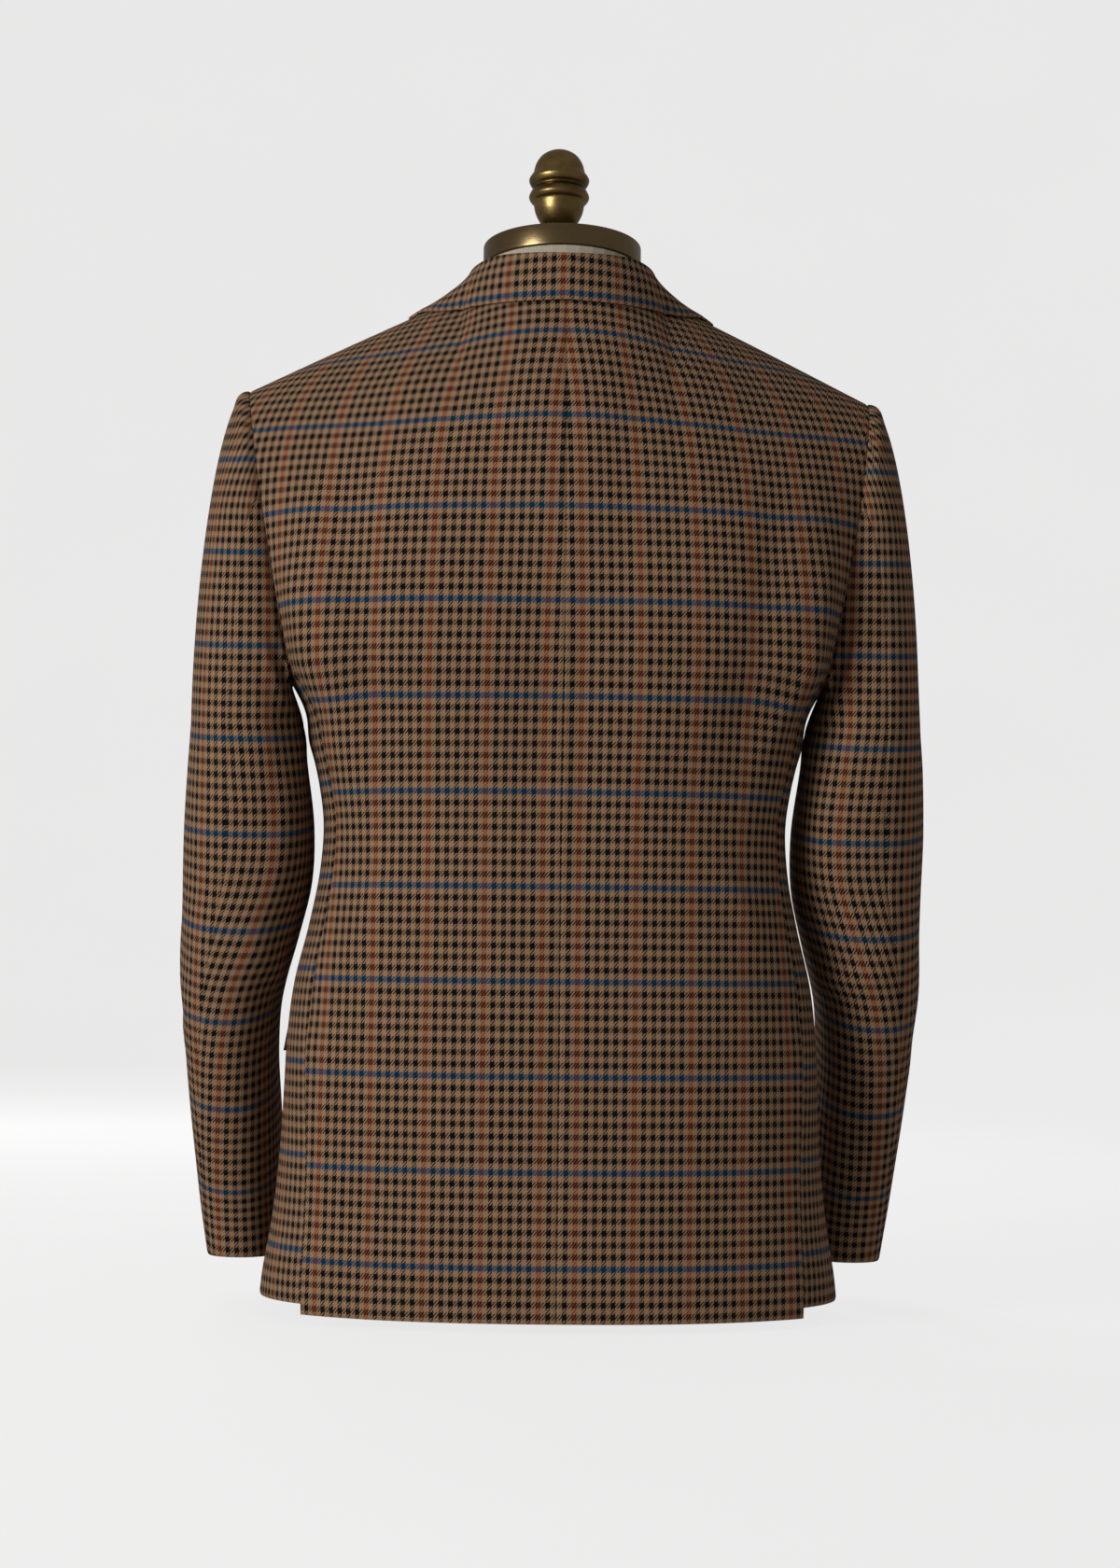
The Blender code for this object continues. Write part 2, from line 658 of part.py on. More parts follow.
def sleeve_surface(a, h):
    """The sleeve: a is degrees round it, and h goes 0 cuff, 1 upper arm, 2 armhole."""
    angle = np.radians(a)
    height = mix(SLEEVE[0][0], BICEP, np.clip(h, 0, 1))
    arm = sleeve_ring(angle, height)
    foot = sleeve_ring(angle, np.full_like(angle, BICEP))
    top = armhole_point(angle)
    outside = (1 + np.cos(angle)) / 2
    up = point(-HEAD_IN * outside, 0.0, mix(*HEAD_UP, outside))
    away = point(HEAD_OUT * outside, HEAD_SPREAD * np.sin(angle), mix(*HEAD_FALL, outside))
    start = top + point(ARMHOLE_STANDOFF, 0.0, 0.0)
    cap = bezier(foot, foot + up, start + away, start, np.clip(h - 1, 0, 1))
    return np.where((h > 1)[..., None], cap, arm)


def collar_row(name, place):
    """A value of the collar's tables at a place from the centre back (0) to the gorge (2)."""
    back = column(COLLAR_BACK, COLLAR_COLUMNS, name)(place)
    front = column(COLLAR_FRONT, COLLAR_COLUMNS, name)(place)
    return np.where(place < 1, back, front)


def collar_edge(place):
    """The collar's free edge, just over the back, the shoulder and the front."""
    s = collar_row("panel_s", place)
    t = collar_row("panel_t", place)
    share = (COLLAR_BACK[-1][4] - NECK_SHARE) / (1 - NECK_SHARE)
    seam = (1 - FRONT_NECK_SHARE) * (1 - share)
    ahead = mix(seam, s, smooth(place, 1.0, COLLAR_TURN))
    over = COLLAR_STANDOFF + WALL
    back = back_upper(s, t) + upper_normal(back_upper, s, t) * over
    front = front_upper(ahead, t) + upper_normal(front_upper, ahead, t) * over
    return np.where((place < 1)[..., None], back, front)


def upper_normal(surface, s, t, step=1e-3):
    """The outward direction of a panel above the chest line."""
    across = surface(s + step, t) - surface(s - step, t)
    along = surface(s, t) - surface(s, t - 2 * step)
    way = np.cross(along, across)
    return way / np.linalg.norm(way, axis=-1, keepdims=True)


def collar_fold(place):
    """The collar's turned edge."""
    turn = np.radians(collar_row("fold_angle", place))
    radius = collar_row("fold_radius", place)
    height = collar_row("fold_height", place)
    return point(radius * np.sin(turn), radius * np.cos(turn), height)


def collar_fall_surface(place, v):
    """The collar's fall: v 0 at its free edge and 1 at the turned edge."""
    near = np.abs(place)
    p = mix(collar_edge(near), collar_fold(near), v[..., None])
    p[..., 2] += (COLLAR_ROLL - collar_row("sag", near)) * np.sin(math.pi * v)
    p[..., 0] *= np.where(place < 0, -1, 1)
    return p


def collar_stand_surface(place, v):
    """The collar's stand, inside the fall, from the neckline up to the turned edge."""
    near = np.abs(place)
    top = collar_fold(near)
    flat = np.hypot(top[..., 0], top[..., 1])
    top[..., :2] *= (1 - (WALL + 2 * LAYER_GAP) / flat)[..., None]
    foot = top.copy()
    foot[..., 2] = mix(STAND_FOOT, NECK_SIDE[2] + STAND_OVER_NECK, smooth(near, 0.1, 0.9))
    foot[..., 2] = mix(foot[..., 2], top[..., 2] - STAND_LEAST, smooth(near, 1.0, STAND_END))
    p = mix(foot, top, v[..., None])
    p[..., 0] *= np.where(place < 0, -1, 1)
    return p


def within(knots, low, high):
    """The grid lines of a panel between two limits, with the limits themselves."""
    inside = [knot for knot in knots if low + GRID_REACH < knot < high - GRID_REACH]
    return np.array([low, *inside, high])


def faceted(surface, across, along):
    """A surface through a panel's own grid points, straight between them, as its mesh is."""
    knots_s, knots_h = np.asarray(across), np.asarray(along)
    grid = surface(*np.meshgrid(knots_s, knots_h, indexing="ij"))

    def place(s, h):
        i = np.clip(np.searchsorted(knots_s, s, side="right") - 1, 0, len(knots_s) - 2)
        j = np.clip(np.searchsorted(knots_h, h, side="right") - 1, 0, len(knots_h) - 2)
        fs = ((s - knots_s[i]) / (knots_s[i + 1] - knots_s[i]))[..., None]
        fh = ((h - knots_h[j]) / (knots_h[j + 1] - knots_h[j]))[..., None]
        low = mix(grid[i, j], grid[i + 1, j], fs)
        high = mix(grid[i, j + 1], grid[i + 1, j + 1], fs)
        return mix(low, high, fh)

    return place


def lapel_surface(faces):
    """A lapel, turned out on the front: s 0 at the roll line, v 0 at its foot."""
    width = column(LAPEL, LAPEL_COLUMNS, "width")
    foot = LAPEL_FOOT / CHEST

    def place(s, v):
        top = 1 + LAPEL_PEAK + (LAPEL_GORGE - LAPEL_PEAK) * np.clip(1 - s, 0, 1)
        return faces(1 - s * width(v) - LAPEL_START, mix(foot, top, v))

    return place


def make_form():
    """The torso: one skin through level sections, closed by its flat underside and neck."""
    bm = bmesh.new()
    loops = []
    for height, half, back, front, n, shoulder, tilt in FORM:
        verts = []
        for k in range(FORM_SIDES):
            turn = 2 * math.pi * k / FORM_SIDES
            reach = (abs(math.sin(turn)) ** n + abs(math.cos(turn)) ** n) ** (-1 / n)
            depth = back if math.cos(turn) > 0 else front
            x = half * reach * math.sin(turn)
            x += shoulder * math.copysign(math.sin(turn) ** FORM_SHOULDER_POWER, x)
            y = depth * reach * math.cos(turn)
            z = height + y * tilt * math.tan(math.radians(NECK_TILT))
            verts.append(bm.verts.new((x, y, z)))
        loops.append([bm.edges.new((verts[k - 1], verts[k])) for k in range(FORM_SIDES)])
    for low, high in zip(loops, loops[1:]):
        bmesh.ops.bridge_loops(bm, edges=low + high)
    for loop in (loops[0], loops[-1]):
        bmesh.ops.contextual_create(bm, geom=loop)
    bmesh.ops.recalc_face_normals(bm, faces=bm.faces[:])
    mesh_object("form_torso", bm, "linen")


def tilted(bm):
    """Leans a piece on the neck forwards with the neck, about the foot of the cap."""
    lean = Matrix.Rotation(math.radians(NECK_TILT), 4, "X")
    about = Matrix.Translation((0, 0, CAP_FOOT))
    bmesh.ops.transform(bm, matrix=about @ lean @ about.inverted(), verts=bm.verts[:])


def make_neck_cap():
    bm = bmesh.new()
    lift = Matrix.Translation((0, 0, CAP_FOOT + CAP_THICK / 2))
    bmesh.ops.create_cone(
        bm,
        cap_ends=True,
        segments=CAP_SIDES,
        radius1=NECK_RADIUS,
        radius2=NECK_RADIUS,
        depth=CAP_THICK,
        matrix=lift,
    )
    rims = [edge for edge in bm.edges if abs(edge.verts[0].co.z - edge.verts[1].co.z) < 1e-6]
    bmesh.ops.bevel(bm, geom=rims, offset=CAP_EDGE, segments=2, profile=0.5, affect="EDGES")
    tilted(bm)
    mesh_object("neck_cap", bm, "brushed brass")


def make_finial():
    """The turned finial: its profile, from the top down, spun once round its own axis."""
    bm = bmesh.new()
    verts = [bm.verts.new((radius, 0, height)) for radius, height in FINIAL]
    edges = [bm.edges.new(pair) for pair in zip(verts, verts[1:])]
    bmesh.ops.spin(
        bm,
        geom=verts + edges,
        axis=(0, 0, 1),
        cent=(0, 0, 0),
        angle=2 * math.pi,
        steps=FINIAL_SIDES,
        use_merge=True,
    )
    bmesh.ops.remove_doubles(bm, verts=bm.verts[:], dist=1e-6)
    bmesh.ops.recalc_face_normals(bm, faces=bm.faces[:])
    tilted(bm)
    aside = Matrix.Translation((FINIAL_ASIDE, 0, 0))
    bmesh.ops.transform(bm, matrix=aside, verts=bm.verts[:])
    mesh_object("finial", bm, "aged brass")


def make_button(name, height):
    """A four-hole button's body: a disc with a raised rim, lying on the left front."""
    bm = bmesh.new()
    bmesh.ops.create_cone(
        bm,
        cap_ends=True,
        segments=20,
        radius1=BUTTON_RADIUS,
        radius2=BUTTON_RADIUS,
        depth=BUTTON_THICK,
    )
    bm.faces.ensure_lookup_table()
    top = max(bm.faces, key=lambda face: face.calc_center_median().z)
    bmesh.ops.inset_region(bm, faces=[top], thickness=BUTTON_RIM, depth=0.0)
    bmesh.ops.inset_region(bm, faces=[top], thickness=BUTTON_DISH, depth=-BUTTON_DISH)
    front = section_point(np.array(math.pi), np.array(height))
    stand = BUTTON_THICK / 2 + BUTTON_STANDOFF
    place = Matrix.Translation((0.0, front[1] - stand, height))
    face_front = Matrix.Rotation(math.radians(90), 4, "X")
    bmesh.ops.transform(bm, matrix=place @ face_front, verts=bm.verts[:])
    mesh_object(name, bm, "horn")


def make_coat_side(side):
    """The pieces of one side: 1 is the wearer's left, -1 the right."""
    tag = "left" if side > 0 else "right"
    under = side < 0
    upper = 1 + np.linspace(0, 1, UPPER_ROWS + 1)[1:]
    lower = np.array(ROWS) / CHEST
    rows = np.concatenate([lower, upper])
    back = lifted("back", back_surface, -1)
    cloth("back_" + tag, back, BACK_GRID, rows, -1, side, mitred=True)
    cloth("side_" + tag, side_surface, np.linspace(0, 1, 6), lower, -1, side)

    def front(s, h):
        return front_surface(s, h, under)

    front = lifted("front", front, -1)
    cloth("front_" + tag, front, FRONT_GRID, rows, -1, side, mitred=True)
    faces = faceted(front, FRONT_GRID, rows)
    across = np.linspace(0, 1, LAPEL_ACROSS)
    along = np.linspace(0, 1, LAPEL_UP)
    out = WALL + LAPEL_STANDOFF
    cloth("lapel_" + tag, lapel_surface(faces), across, along, 1, side, out=out)
    across = within(FRONT_GRID, *FLAP_SPAN)
    along = within(rows, FLAP_FOOT / CHEST, FLAP_TOP / CHEST)
    cloth("flap_" + tag, faces, across, along, -1, side, out=WALL + LAYER_GAP)
    if side > 0:
        across = within(FRONT_GRID, *WELT_SPAN)
        along = within(rows, *WELT_RISE)
        cloth("breast_welt", faces, across, along, -1, side, out=WALL + LAYER_GAP)
    head = 1 + np.linspace(0, 1, CAP_RINGS + 1)[1:]
    rings = np.concatenate([np.linspace(0, 1, SLEEVE_RINGS + 1), head])
    cloth("sleeve_top_" + tag, top_sleeve, np.linspace(0, 1, 14), rings, 1, side)
    cloth("sleeve_under_" + tag, under_sleeve, np.linspace(0, 1, 12), rings, 1, side)


def make_collar():
    last = COLLAR_FRONT[-1][0]
    fall = np.linspace(-last, last, COLLAR_COUNT)
    cloth("collar_fall", collar_fall_surface, fall, np.linspace(0, 1, 4), -1)
    stand = np.linspace(-STAND_END, STAND_END, STAND_COUNT)
    cloth("collar_stand", collar_stand_surface, stand, (0.0, 0.5, 1.0), -1)


def make_collection(name):
    made = bpy.data.collections.new(name)
    bpy.context.scene.collection.children.link(made)
    return made


def make_material(name, colour, roughness, metallic):
    material = bpy.data.materials.new(name)
    material.use_nodes = True
    shader = material.node_tree.nodes["Principled BSDF"]
    shader.inputs["Base Color"].default_value = (*colour, 1.0)
    shader.inputs["Roughness"].default_value = roughness
    shader.inputs["Metallic"].default_value = metallic
    return material


for old in list(bpy.data.objects):
    bpy.data.objects.remove(old, do_unlink=True)
part = make_collection("sport coat on dress form")
materials = {name: make_material(name, *finish) for name, finish in COLOURS.items()}
make_form()
make_neck_cap()
make_finial()
for wearer_side in (1, -1):
    make_coat_side(wearer_side)
make_collar()
make_button("button_upper", TOP_BUTTON)
make_button("button_lower", TOP_BUTTON - BUTTON_STEP)
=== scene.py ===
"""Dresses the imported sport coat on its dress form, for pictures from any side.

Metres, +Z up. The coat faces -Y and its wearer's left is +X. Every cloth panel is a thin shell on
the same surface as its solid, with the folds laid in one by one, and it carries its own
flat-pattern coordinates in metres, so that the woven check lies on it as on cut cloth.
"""

import math

import bmesh
import bpy
import numpy as np
from mathutils import Matrix, Vector


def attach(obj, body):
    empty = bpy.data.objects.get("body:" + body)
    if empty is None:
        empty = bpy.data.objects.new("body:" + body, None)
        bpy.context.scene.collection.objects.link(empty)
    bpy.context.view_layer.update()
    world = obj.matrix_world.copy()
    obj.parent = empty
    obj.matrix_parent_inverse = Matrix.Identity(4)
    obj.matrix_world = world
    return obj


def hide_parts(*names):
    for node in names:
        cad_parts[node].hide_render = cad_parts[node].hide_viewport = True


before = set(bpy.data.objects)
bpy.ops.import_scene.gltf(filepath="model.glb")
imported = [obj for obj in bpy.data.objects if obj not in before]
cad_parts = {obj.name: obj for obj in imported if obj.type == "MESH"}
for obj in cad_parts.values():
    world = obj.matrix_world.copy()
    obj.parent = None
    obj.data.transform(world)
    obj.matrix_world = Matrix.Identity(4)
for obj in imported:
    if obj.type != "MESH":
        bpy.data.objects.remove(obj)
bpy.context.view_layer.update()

# Cloth: its wall, half the gap at a seam, and the gap under a piece that lies on another
WALL = 0.0022
HALF_GAP = 0.00006
LAYER_GAP = 0.0004

# Heights over the surface that the form stands on
BACK_HEM = 0.0075
SIDE_HEM = 0.0150
FRONT_HEM = 0.0130
HEM_BLEND = 0.105
CHEST = 0.490
TOP_BUTTON = 0.395
BUTTON_STEP = 0.105

# Neck, shoulder and underarm, with the angle round the armhole where the side body takes over
NECK_BACK = (0.0, 0.0800, 0.7640)
NECK_SIDE = (0.0750, 0.0080, 0.7800)
SHOULDER_POINT = (0.2380, -0.0050, 0.7040)
SHOULDER_SAG = -0.0005
UNDERARM_DIP = 0.0130
UNDERARM_DIP_START = 0.86
UNDERARM_DIP_CURVE = 1.5
UNDERARM_TURN = 146.0
GORGE = (0.0660, -0.0300, 0.7700)

# Shares of the panels' tops that belong to the neckline, and where their shoulder seams' mitre
# starts (2 is the seam itself)
NECK_SHARE = 0.32
FRONT_NECK_SHARE = 0.112
MITRE_START = 1.90

# How the body goes on up from the chest line: how much of its flare it keeps, how far it heads up
# at the centre and at the armhole, and how far it spreads outwards and behind or ahead there
FLARE_KEPT = 0.22
BACK_RISE = (0.115, 0.070)
BACK_SPREAD = 0.008
BACK_BEHIND = 0.010
FRONT_RISE = (0.120, 0.065)
FRONT_SPREAD = (0.010, 0.014)
FRONT_AHEAD = (0.002, 0.006)

# How far round the side of the neck the back is eased past its corner, and in how many steps
EASE_REACH = 0.14
EASE_STEPS = 3

# How the back leaves the neckline (place 0 to 0.32) and the shoulder seam (on to 1): how far it
# heads out behind and down. The front leaves its seam level, by its own lengths at the centre and
# the armhole with a fuller middle, and drops only at the gorge.
BACK_SLOPE_COLUMNS = ("place", "behind", "down")
BACK_SLOPE = (
    (0.00, 0.030, 0.060),
    (0.16, 0.046, 0.046),
    (0.32, 0.078, 0.036),
    (0.60, 0.066, 0.022),
    (1.00, 0.056, 0.010),
)
FRONT_LEAVES = (0.048, 0.058)
FRONT_FULL = 0.020
FRONT_DROP = (0.001, 0.040)

# Body sections, hem to chest line
BODY_COLUMNS = ("height", "half_width", "back", "front", "squareness")
BODY = (
    (0.000, 0.2225, 0.1350, 0.1450, 2.30),
    (0.030, 0.2195, 0.1340, 0.1440, 2.30),
    (0.072, 0.2125, 0.1315, 0.1420, 2.30),
    (0.126, 0.2070, 0.1290, 0.1390, 2.30),
    (0.172, 0.2045, 0.1265, 0.1360, 2.35),
    (0.213, 0.2025, 0.1240, 0.1330, 2.35),
    (0.251, 0.1980, 0.1205, 0.1300, 2.35),
    (0.298, 0.1868, 0.1160, 0.1270, 2.40),
    (0.340, 0.1790, 0.1130, 0.1255, 2.40),
    (0.377, 0.1772, 0.1120, 0.1260, 2.40),
    (0.402, 0.1805, 0.1140, 0.1280, 2.45),
    (0.428, 0.1860, 0.1175, 0.1310, 2.50),
    (0.458, 0.1915, 0.1215, 0.1340, 2.70),
    (0.490, 0.2085, 0.1265, 0.1360, 3.00),
)

# The seams round the body, on either side of the side body, and how far the front's free edge goes
# past the middle, with its rounded corner's size, how much of that it lifts, and the front's width
BACK_SEAM_COLUMNS = ("height", "angle")
BACK_SEAM = (
    (0.000, 53.0),
    (0.100, 57.4),
    (0.200, 61.0),
    (0.300, 64.0),
    (0.377, 65.5),
    (0.440, 66.0),
    (0.490, 66.0),
)
FRONT_SEAM = math.radians(102.0)
FRONT_EDGE_COLUMNS = ("height", "past_middle")
FRONT_EDGE = (
    (0.000, -0.0560),
    (0.070, -0.0400),
    (0.130, -0.0200),
    (0.190, -0.0030),
    (0.250, 0.0110),
    (0.310, 0.0180),
    (0.395, 0.0190),
    (0.440, 0.0080),
    (0.490, -0.0080),
)
FRONT_CORNER = 0.0750
FRONT_CORNER_SHARE = 0.85
PANEL_ACROSS = 0.2000

# How far the right front lies under the left one, and where that starts and is full
UNDERLAP = 0.0070
UNDERLAP_START = 0.0600
UNDERLAP_FULL = 0.0240
UNDERLAP_AHEAD = (0.0200, 0.0800)

# Sleeve rings below the armhole: inner and outer edge from the middle, and the front-to-back axis
SLEEVE_COLUMNS = ("height", "inner", "outer", "middle", "half_depth", "turn")
SLEEVE = (
    (0.036, 0.2040, 0.2640, -0.0980, 0.0560, 12.0),
    (0.072, 0.2065, 0.2695, -0.0900, 0.0550, 11.0),
    (0.113, 0.2085, 0.2740, -0.0770, 0.0560, 10.0),
    (0.156, 0.2105, 0.2785, -0.0630, 0.0580, 8.0),
    (0.199, 0.2120, 0.2820, -0.0500, 0.0600, 6.0),
    (0.242, 0.2085, 0.2840, -0.0380, 0.0620, 4.0),
    (0.285, 0.1965, 0.2850, -0.0270, 0.0640, 2.0),
    (0.328, 0.1860, 0.2850, -0.0180, 0.0650, 0.0),
    (0.371, 0.1845, 0.2840, -0.0110, 0.0665, 0.0),
    (0.414, 0.1895, 0.2815, -0.0050, 0.0685, 0.0),
    (0.448, 0.1945, 0.2790, -0.0010, 0.0705, 0.0),
)
BICEP = 0.448
SLEEVE_SQUARENESS = 2.25

# Sleeve seams in degrees round the sleeve: behind the arm at the cuff and the armhole, with the
# place where it starts to turn, and in front of it, with half the gap between the two halves
HINDARM = (42.0, 76.0)
HINDARM_BEND = -0.25
FOREARM = 232.0
SLEEVE_GAP = 0.08

# Sleeve head: how far it stands off the armhole seam, and how its curve heads on up from the arm
# and out from the seam, under the arm and on the outside
ARMHOLE_STANDOFF = 0.0008
HEAD_UP = (0.012, 0.125)
HEAD_IN = 0.001
HEAD_OUT = 0.020
HEAD_SPREAD = 0.010
HEAD_FALL = (-0.004, 0.002)

# Collar, in rows from the centre back (0) over the shoulder seam (1) to the gorge (2): the turned
# edge as degrees, radius and height round the neck, the free edge as a place on the back or front
COLLAR_COLUMNS = ("place", "fold_angle", "fold_radius", "fold_height", "panel_s", "panel_t", "sag")
COLLAR_BACK = (
    (0.00, 0.0, 0.0830, 0.7980, 0.000, 0.990, 0.0),
    (0.25, 24.0, 0.0800, 0.7990, 0.115, 0.965, 0.0),
    (0.48, 45.0, 0.0758, 0.8000, 0.225, 0.924, 0.0008),
    (0.63, 57.0, 0.0742, 0.7993, 0.315, 0.886, 0.0022),
    (0.80, 72.0, 0.0731, 0.7974, 0.388, 0.914, 0.0044),
    (1.00, 86.0, 0.0728, 0.7945, 0.460, 1.000, 0.0055),
)
COLLAR_FRONT = (
    COLLAR_BACK[-1],
    (1.35, 100.0, 0.0748, 0.7870, 0.740, 0.930, 0.0040),
    (1.70, 116.0, 0.0785, 0.7740, 0.735, 0.830, 0.0015),
    (2.00, 129.0, 0.0835, 0.7550, 0.760, 0.718, 0.0),
)
COLLAR_TURN = 1.35
COLLAR_STANDOFF = 0.0009
COLLAR_ROLL = 0.0030

# Collar stand: where it ends, its foot at the centre back and between which places that climbs, and
# how far its foot is over the side of the neck and under the turned edge at its end
STAND_END = 1.6
STAND_FOOT = 0.7675
STAND_CLIMBS = (0.1, 0.9)
STAND_OVER_NECK = 0.0040
STAND_LEAST = 0.0060

# Lapel, in rows up the roll line: how far its free edge is from the line, as a share of the front
LAPEL_COLUMNS = ("rise", "width")
LAPEL = (
    (0.00, 0.030),
    (0.25, 0.170),
    (0.50, 0.260),
    (0.75, 0.330),
    (1.00, 0.390),
)
LAPEL_FOOT = 0.408
LAPEL_START = 0.004
LAPEL_GORGE = 0.820
LAPEL_PEAK = 0.620
LAPEL_STANDOFF = 0.0015

# Pocket flaps and breast welt, in shares of the front panel
FLAP_TOP = 0.2480
FLAP_FOOT = 0.1980
FLAP_SPAN = (0.012, 0.520)
WELT_SPAN = (0.300, 0.560)
WELT_RISE = (1.300, 1.375)

# Buttons
BUTTON_RADIUS = 0.0100
BUTTON_THICK = 0.0032
BUTTON_DISH = 0.0008
BUTTON_STANDOFF = 0.0015

# The form's hard parts
NECK_RADIUS = 0.0605
NECK_TILT = 6.5
CAP_FOOT = 0.8024
CAP_THICK = 0.0165
FINIAL_ASIDE = 0.0028
FINIAL_COLUMNS = ("radius", "height")
FINIAL = (
    (0.0000, 0.8968),
    (0.0075, 0.8955),
    (0.0140, 0.8915),
    (0.0180, 0.8855),
    (0.0200, 0.8783),
    (0.0218, 0.8757),
    (0.0232, 0.8727),
    (0.0218, 0.8690),
    (0.0197, 0.8665),
    (0.0218, 0.8630),
    (0.0232, 0.8592),
    (0.0218, 0.8562),
    (0.0197, 0.8539),
    (0.0180, 0.8465),
    (0.0140, 0.8390),
    (0.0085, 0.8345),
    (0.0057, 0.8325),
    (0.0057, 0.8193),
    (0.0000, 0.8193),
)


def column(rows, names, name):
    """A smooth curve through one named column of a table, over the table's first column."""
    place = names.index(name)
    at = np.array([row[0] for row in rows])
    value = np.array([row[place] for row in rows])
    slope = np.gradient(value, at)

    def read(x):
        x = np.clip(x, at[0], at[-1])
        k = np.clip(np.searchsorted(at, x, side="right") - 1, 0, len(at) - 2)
        step = at[k + 1] - at[k]
        f = (x - at[k]) / step
        low = value[k] * (1 + 2 * f) * (1 - f) ** 2 + slope[k] * step * f * (1 - f) ** 2
        high = value[k + 1] * f * f * (3 - 2 * f) + slope[k + 1] * step * f * f * (f - 1)
        return low + high

    return read


def curves(rows, names):
    """A smooth curve through each further column of a table, in their order."""
    return [column(rows, names, name) for name in names[1:]]


half_width, back_depth, front_depth, squareness = curves(BODY, BODY_COLUMNS)
back_seam = column(BACK_SEAM, BACK_SEAM_COLUMNS, "angle")
past_middle = column(FRONT_EDGE, FRONT_EDGE_COLUMNS, "past_middle")
slope_behind, slope_down = curves(BACK_SLOPE, BACK_SLOPE_COLUMNS)
sleeve_curves = curves(SLEEVE, SLEEVE_COLUMNS)
sleeve_inner, sleeve_outer, sleeve_middle, sleeve_half_depth, sleeve_turn = sleeve_curves


def smooth(x, start, end):
    """0 before start, 1 after end, with a soft step between them."""
    f = np.clip((x - start) / (end - start), 0.0, 1.0)
    return f * f * (3 - 2 * f)


def mix(a, b, share):
    return a + (b - a) * share


def within(x):
    """A share held between 0 and 1."""
    return np.clip(x, 0, 1)


def pick(first, second, where):
    """The first points where that holds, and the second ones elsewhere."""
    return np.where(where[..., None], first, second)


def point(x, y, z):
    return np.stack(np.broadcast_arrays(x, y, z), axis=-1).astype(float)


def oval_reach(angle, n):
    """How far an oval of squareness n reaches at an angle, against a circle."""
    return (np.abs(np.sin(angle)) ** n + np.abs(np.cos(angle)) ** n) ** (-1 / n)


def section_point(angle, height):
    """A point of the coat's outer surface below the chest line."""
    reach = oval_reach(angle, squareness(height))
    depth = np.where(np.cos(angle) > 0, back_depth(height), front_depth(height))
    return point(
        half_width(height) * reach * np.sin(angle), depth * reach * np.cos(angle), height
    )


def front_edge_angle(height):
    """Where the front's free edge is, round the body."""
    n = squareness(height)
    across = -past_middle(height) / half_width(height)
    return math.pi - np.arctan2(across, (1 - np.abs(across) ** n) ** (1 / n))


def hem_height(height, hem):
    """Moves the rows near the hem so that the lowest one is on the hem's own line."""
    return np.where(height < HEM_BLEND, mix(hem, HEM_BLEND, height / HEM_BLEND), height)


def gap_angle(angle, height):
    """Half the gap at a seam, as an angle round the body."""
    across = section_point(angle, height)
    return HALF_GAP / np.hypot(across[..., 0], across[..., 1])


def bezier(a, b, c, d, t):
    t = np.asarray(t)[..., None]
    return a * (1 - t) ** 3 + b * 3 * t * (1 - t) ** 2 + c * 3 * t * t * (1 - t) + d * t**3


def shoulder_point(share):
    """A point on the shoulder seam, from the side of the neck to the shoulder's end."""
    ends = np.array(NECK_SIDE), np.array(SHOULDER_POINT)
    p = mix(ends[0], ends[1], np.asarray(share)[..., None])
    p[..., 2] -= SHOULDER_SAG * np.sin(math.pi * share)
    return p


def back_neck_point(share):
    """A point on the back's neckline, from the centre back to the side of the neck."""
    turn = share * math.pi / 2
    x = NECK_SIDE[0] * np.sin(turn)
    y = mix(NECK_SIDE[1], NECK_BACK[1], np.cos(turn))
    return point(x, y, mix(NECK_BACK[2], NECK_SIDE[2], share**2))


def rise_tangent(angle, length):
    """The way the body's surface goes on up at the chest line."""
    step = 0.004
    chest = np.full(np.shape(angle), CHEST)
    low = section_point(angle, chest - step)
    high = section_point(angle, chest)
    way = high - low
    way[..., :2] *= FLARE_KEPT
    return way / way[..., 2:] * np.asarray(length)[..., None]


def back_top(s):
    """A point on the back's top edge: its neckline, then its shoulder seam."""
    neck = back_neck_point(within(s / NECK_SHARE))
    ridge = shoulder_point(within((s - NECK_SHARE) / (1 - NECK_SHARE)))
    top = pick(neck, ridge, s < NECK_SHARE)
    top[..., 0] += HALF_GAP * (1 - within(s / NECK_SHARE))
    top[..., 1] += HALF_GAP
    return top


def eased_back_top(s):
    """The back's top edge with the corner at the side of the neck rounded off."""
    reach = np.minimum(EASE_REACH, np.minimum(s, 1 - s))
    weight = 1 + EASE_STEPS - np.abs(np.arange(-EASE_STEPS, EASE_STEPS + 1))
    eased = 0.0
    for k, share in enumerate(weight / weight.sum()):
        eased = eased + back_top(s + reach * (k / EASE_STEPS - 1)) * share
    return eased


def back_upper(s, t):
    """The back from the chest line (t 0) to the neckline and shoulder seam (t 1)."""
    seam = np.radians(back_seam(CHEST))
    chest = np.full(np.shape(s), CHEST)
    start = mix(gap_angle(0.0, CHEST), seam, s)
    foot = section_point(start, chest)
    up = rise_tangent(start, mix(*BACK_RISE, s))
    up[..., 0] += BACK_SPREAD * s
    up[..., 1] += BACK_BEHIND
    down = point(0.0, slope_behind(s), -slope_down(s))
    return bezier(foot, foot + up, eased_back_top(s) + down, back_top(s), t)


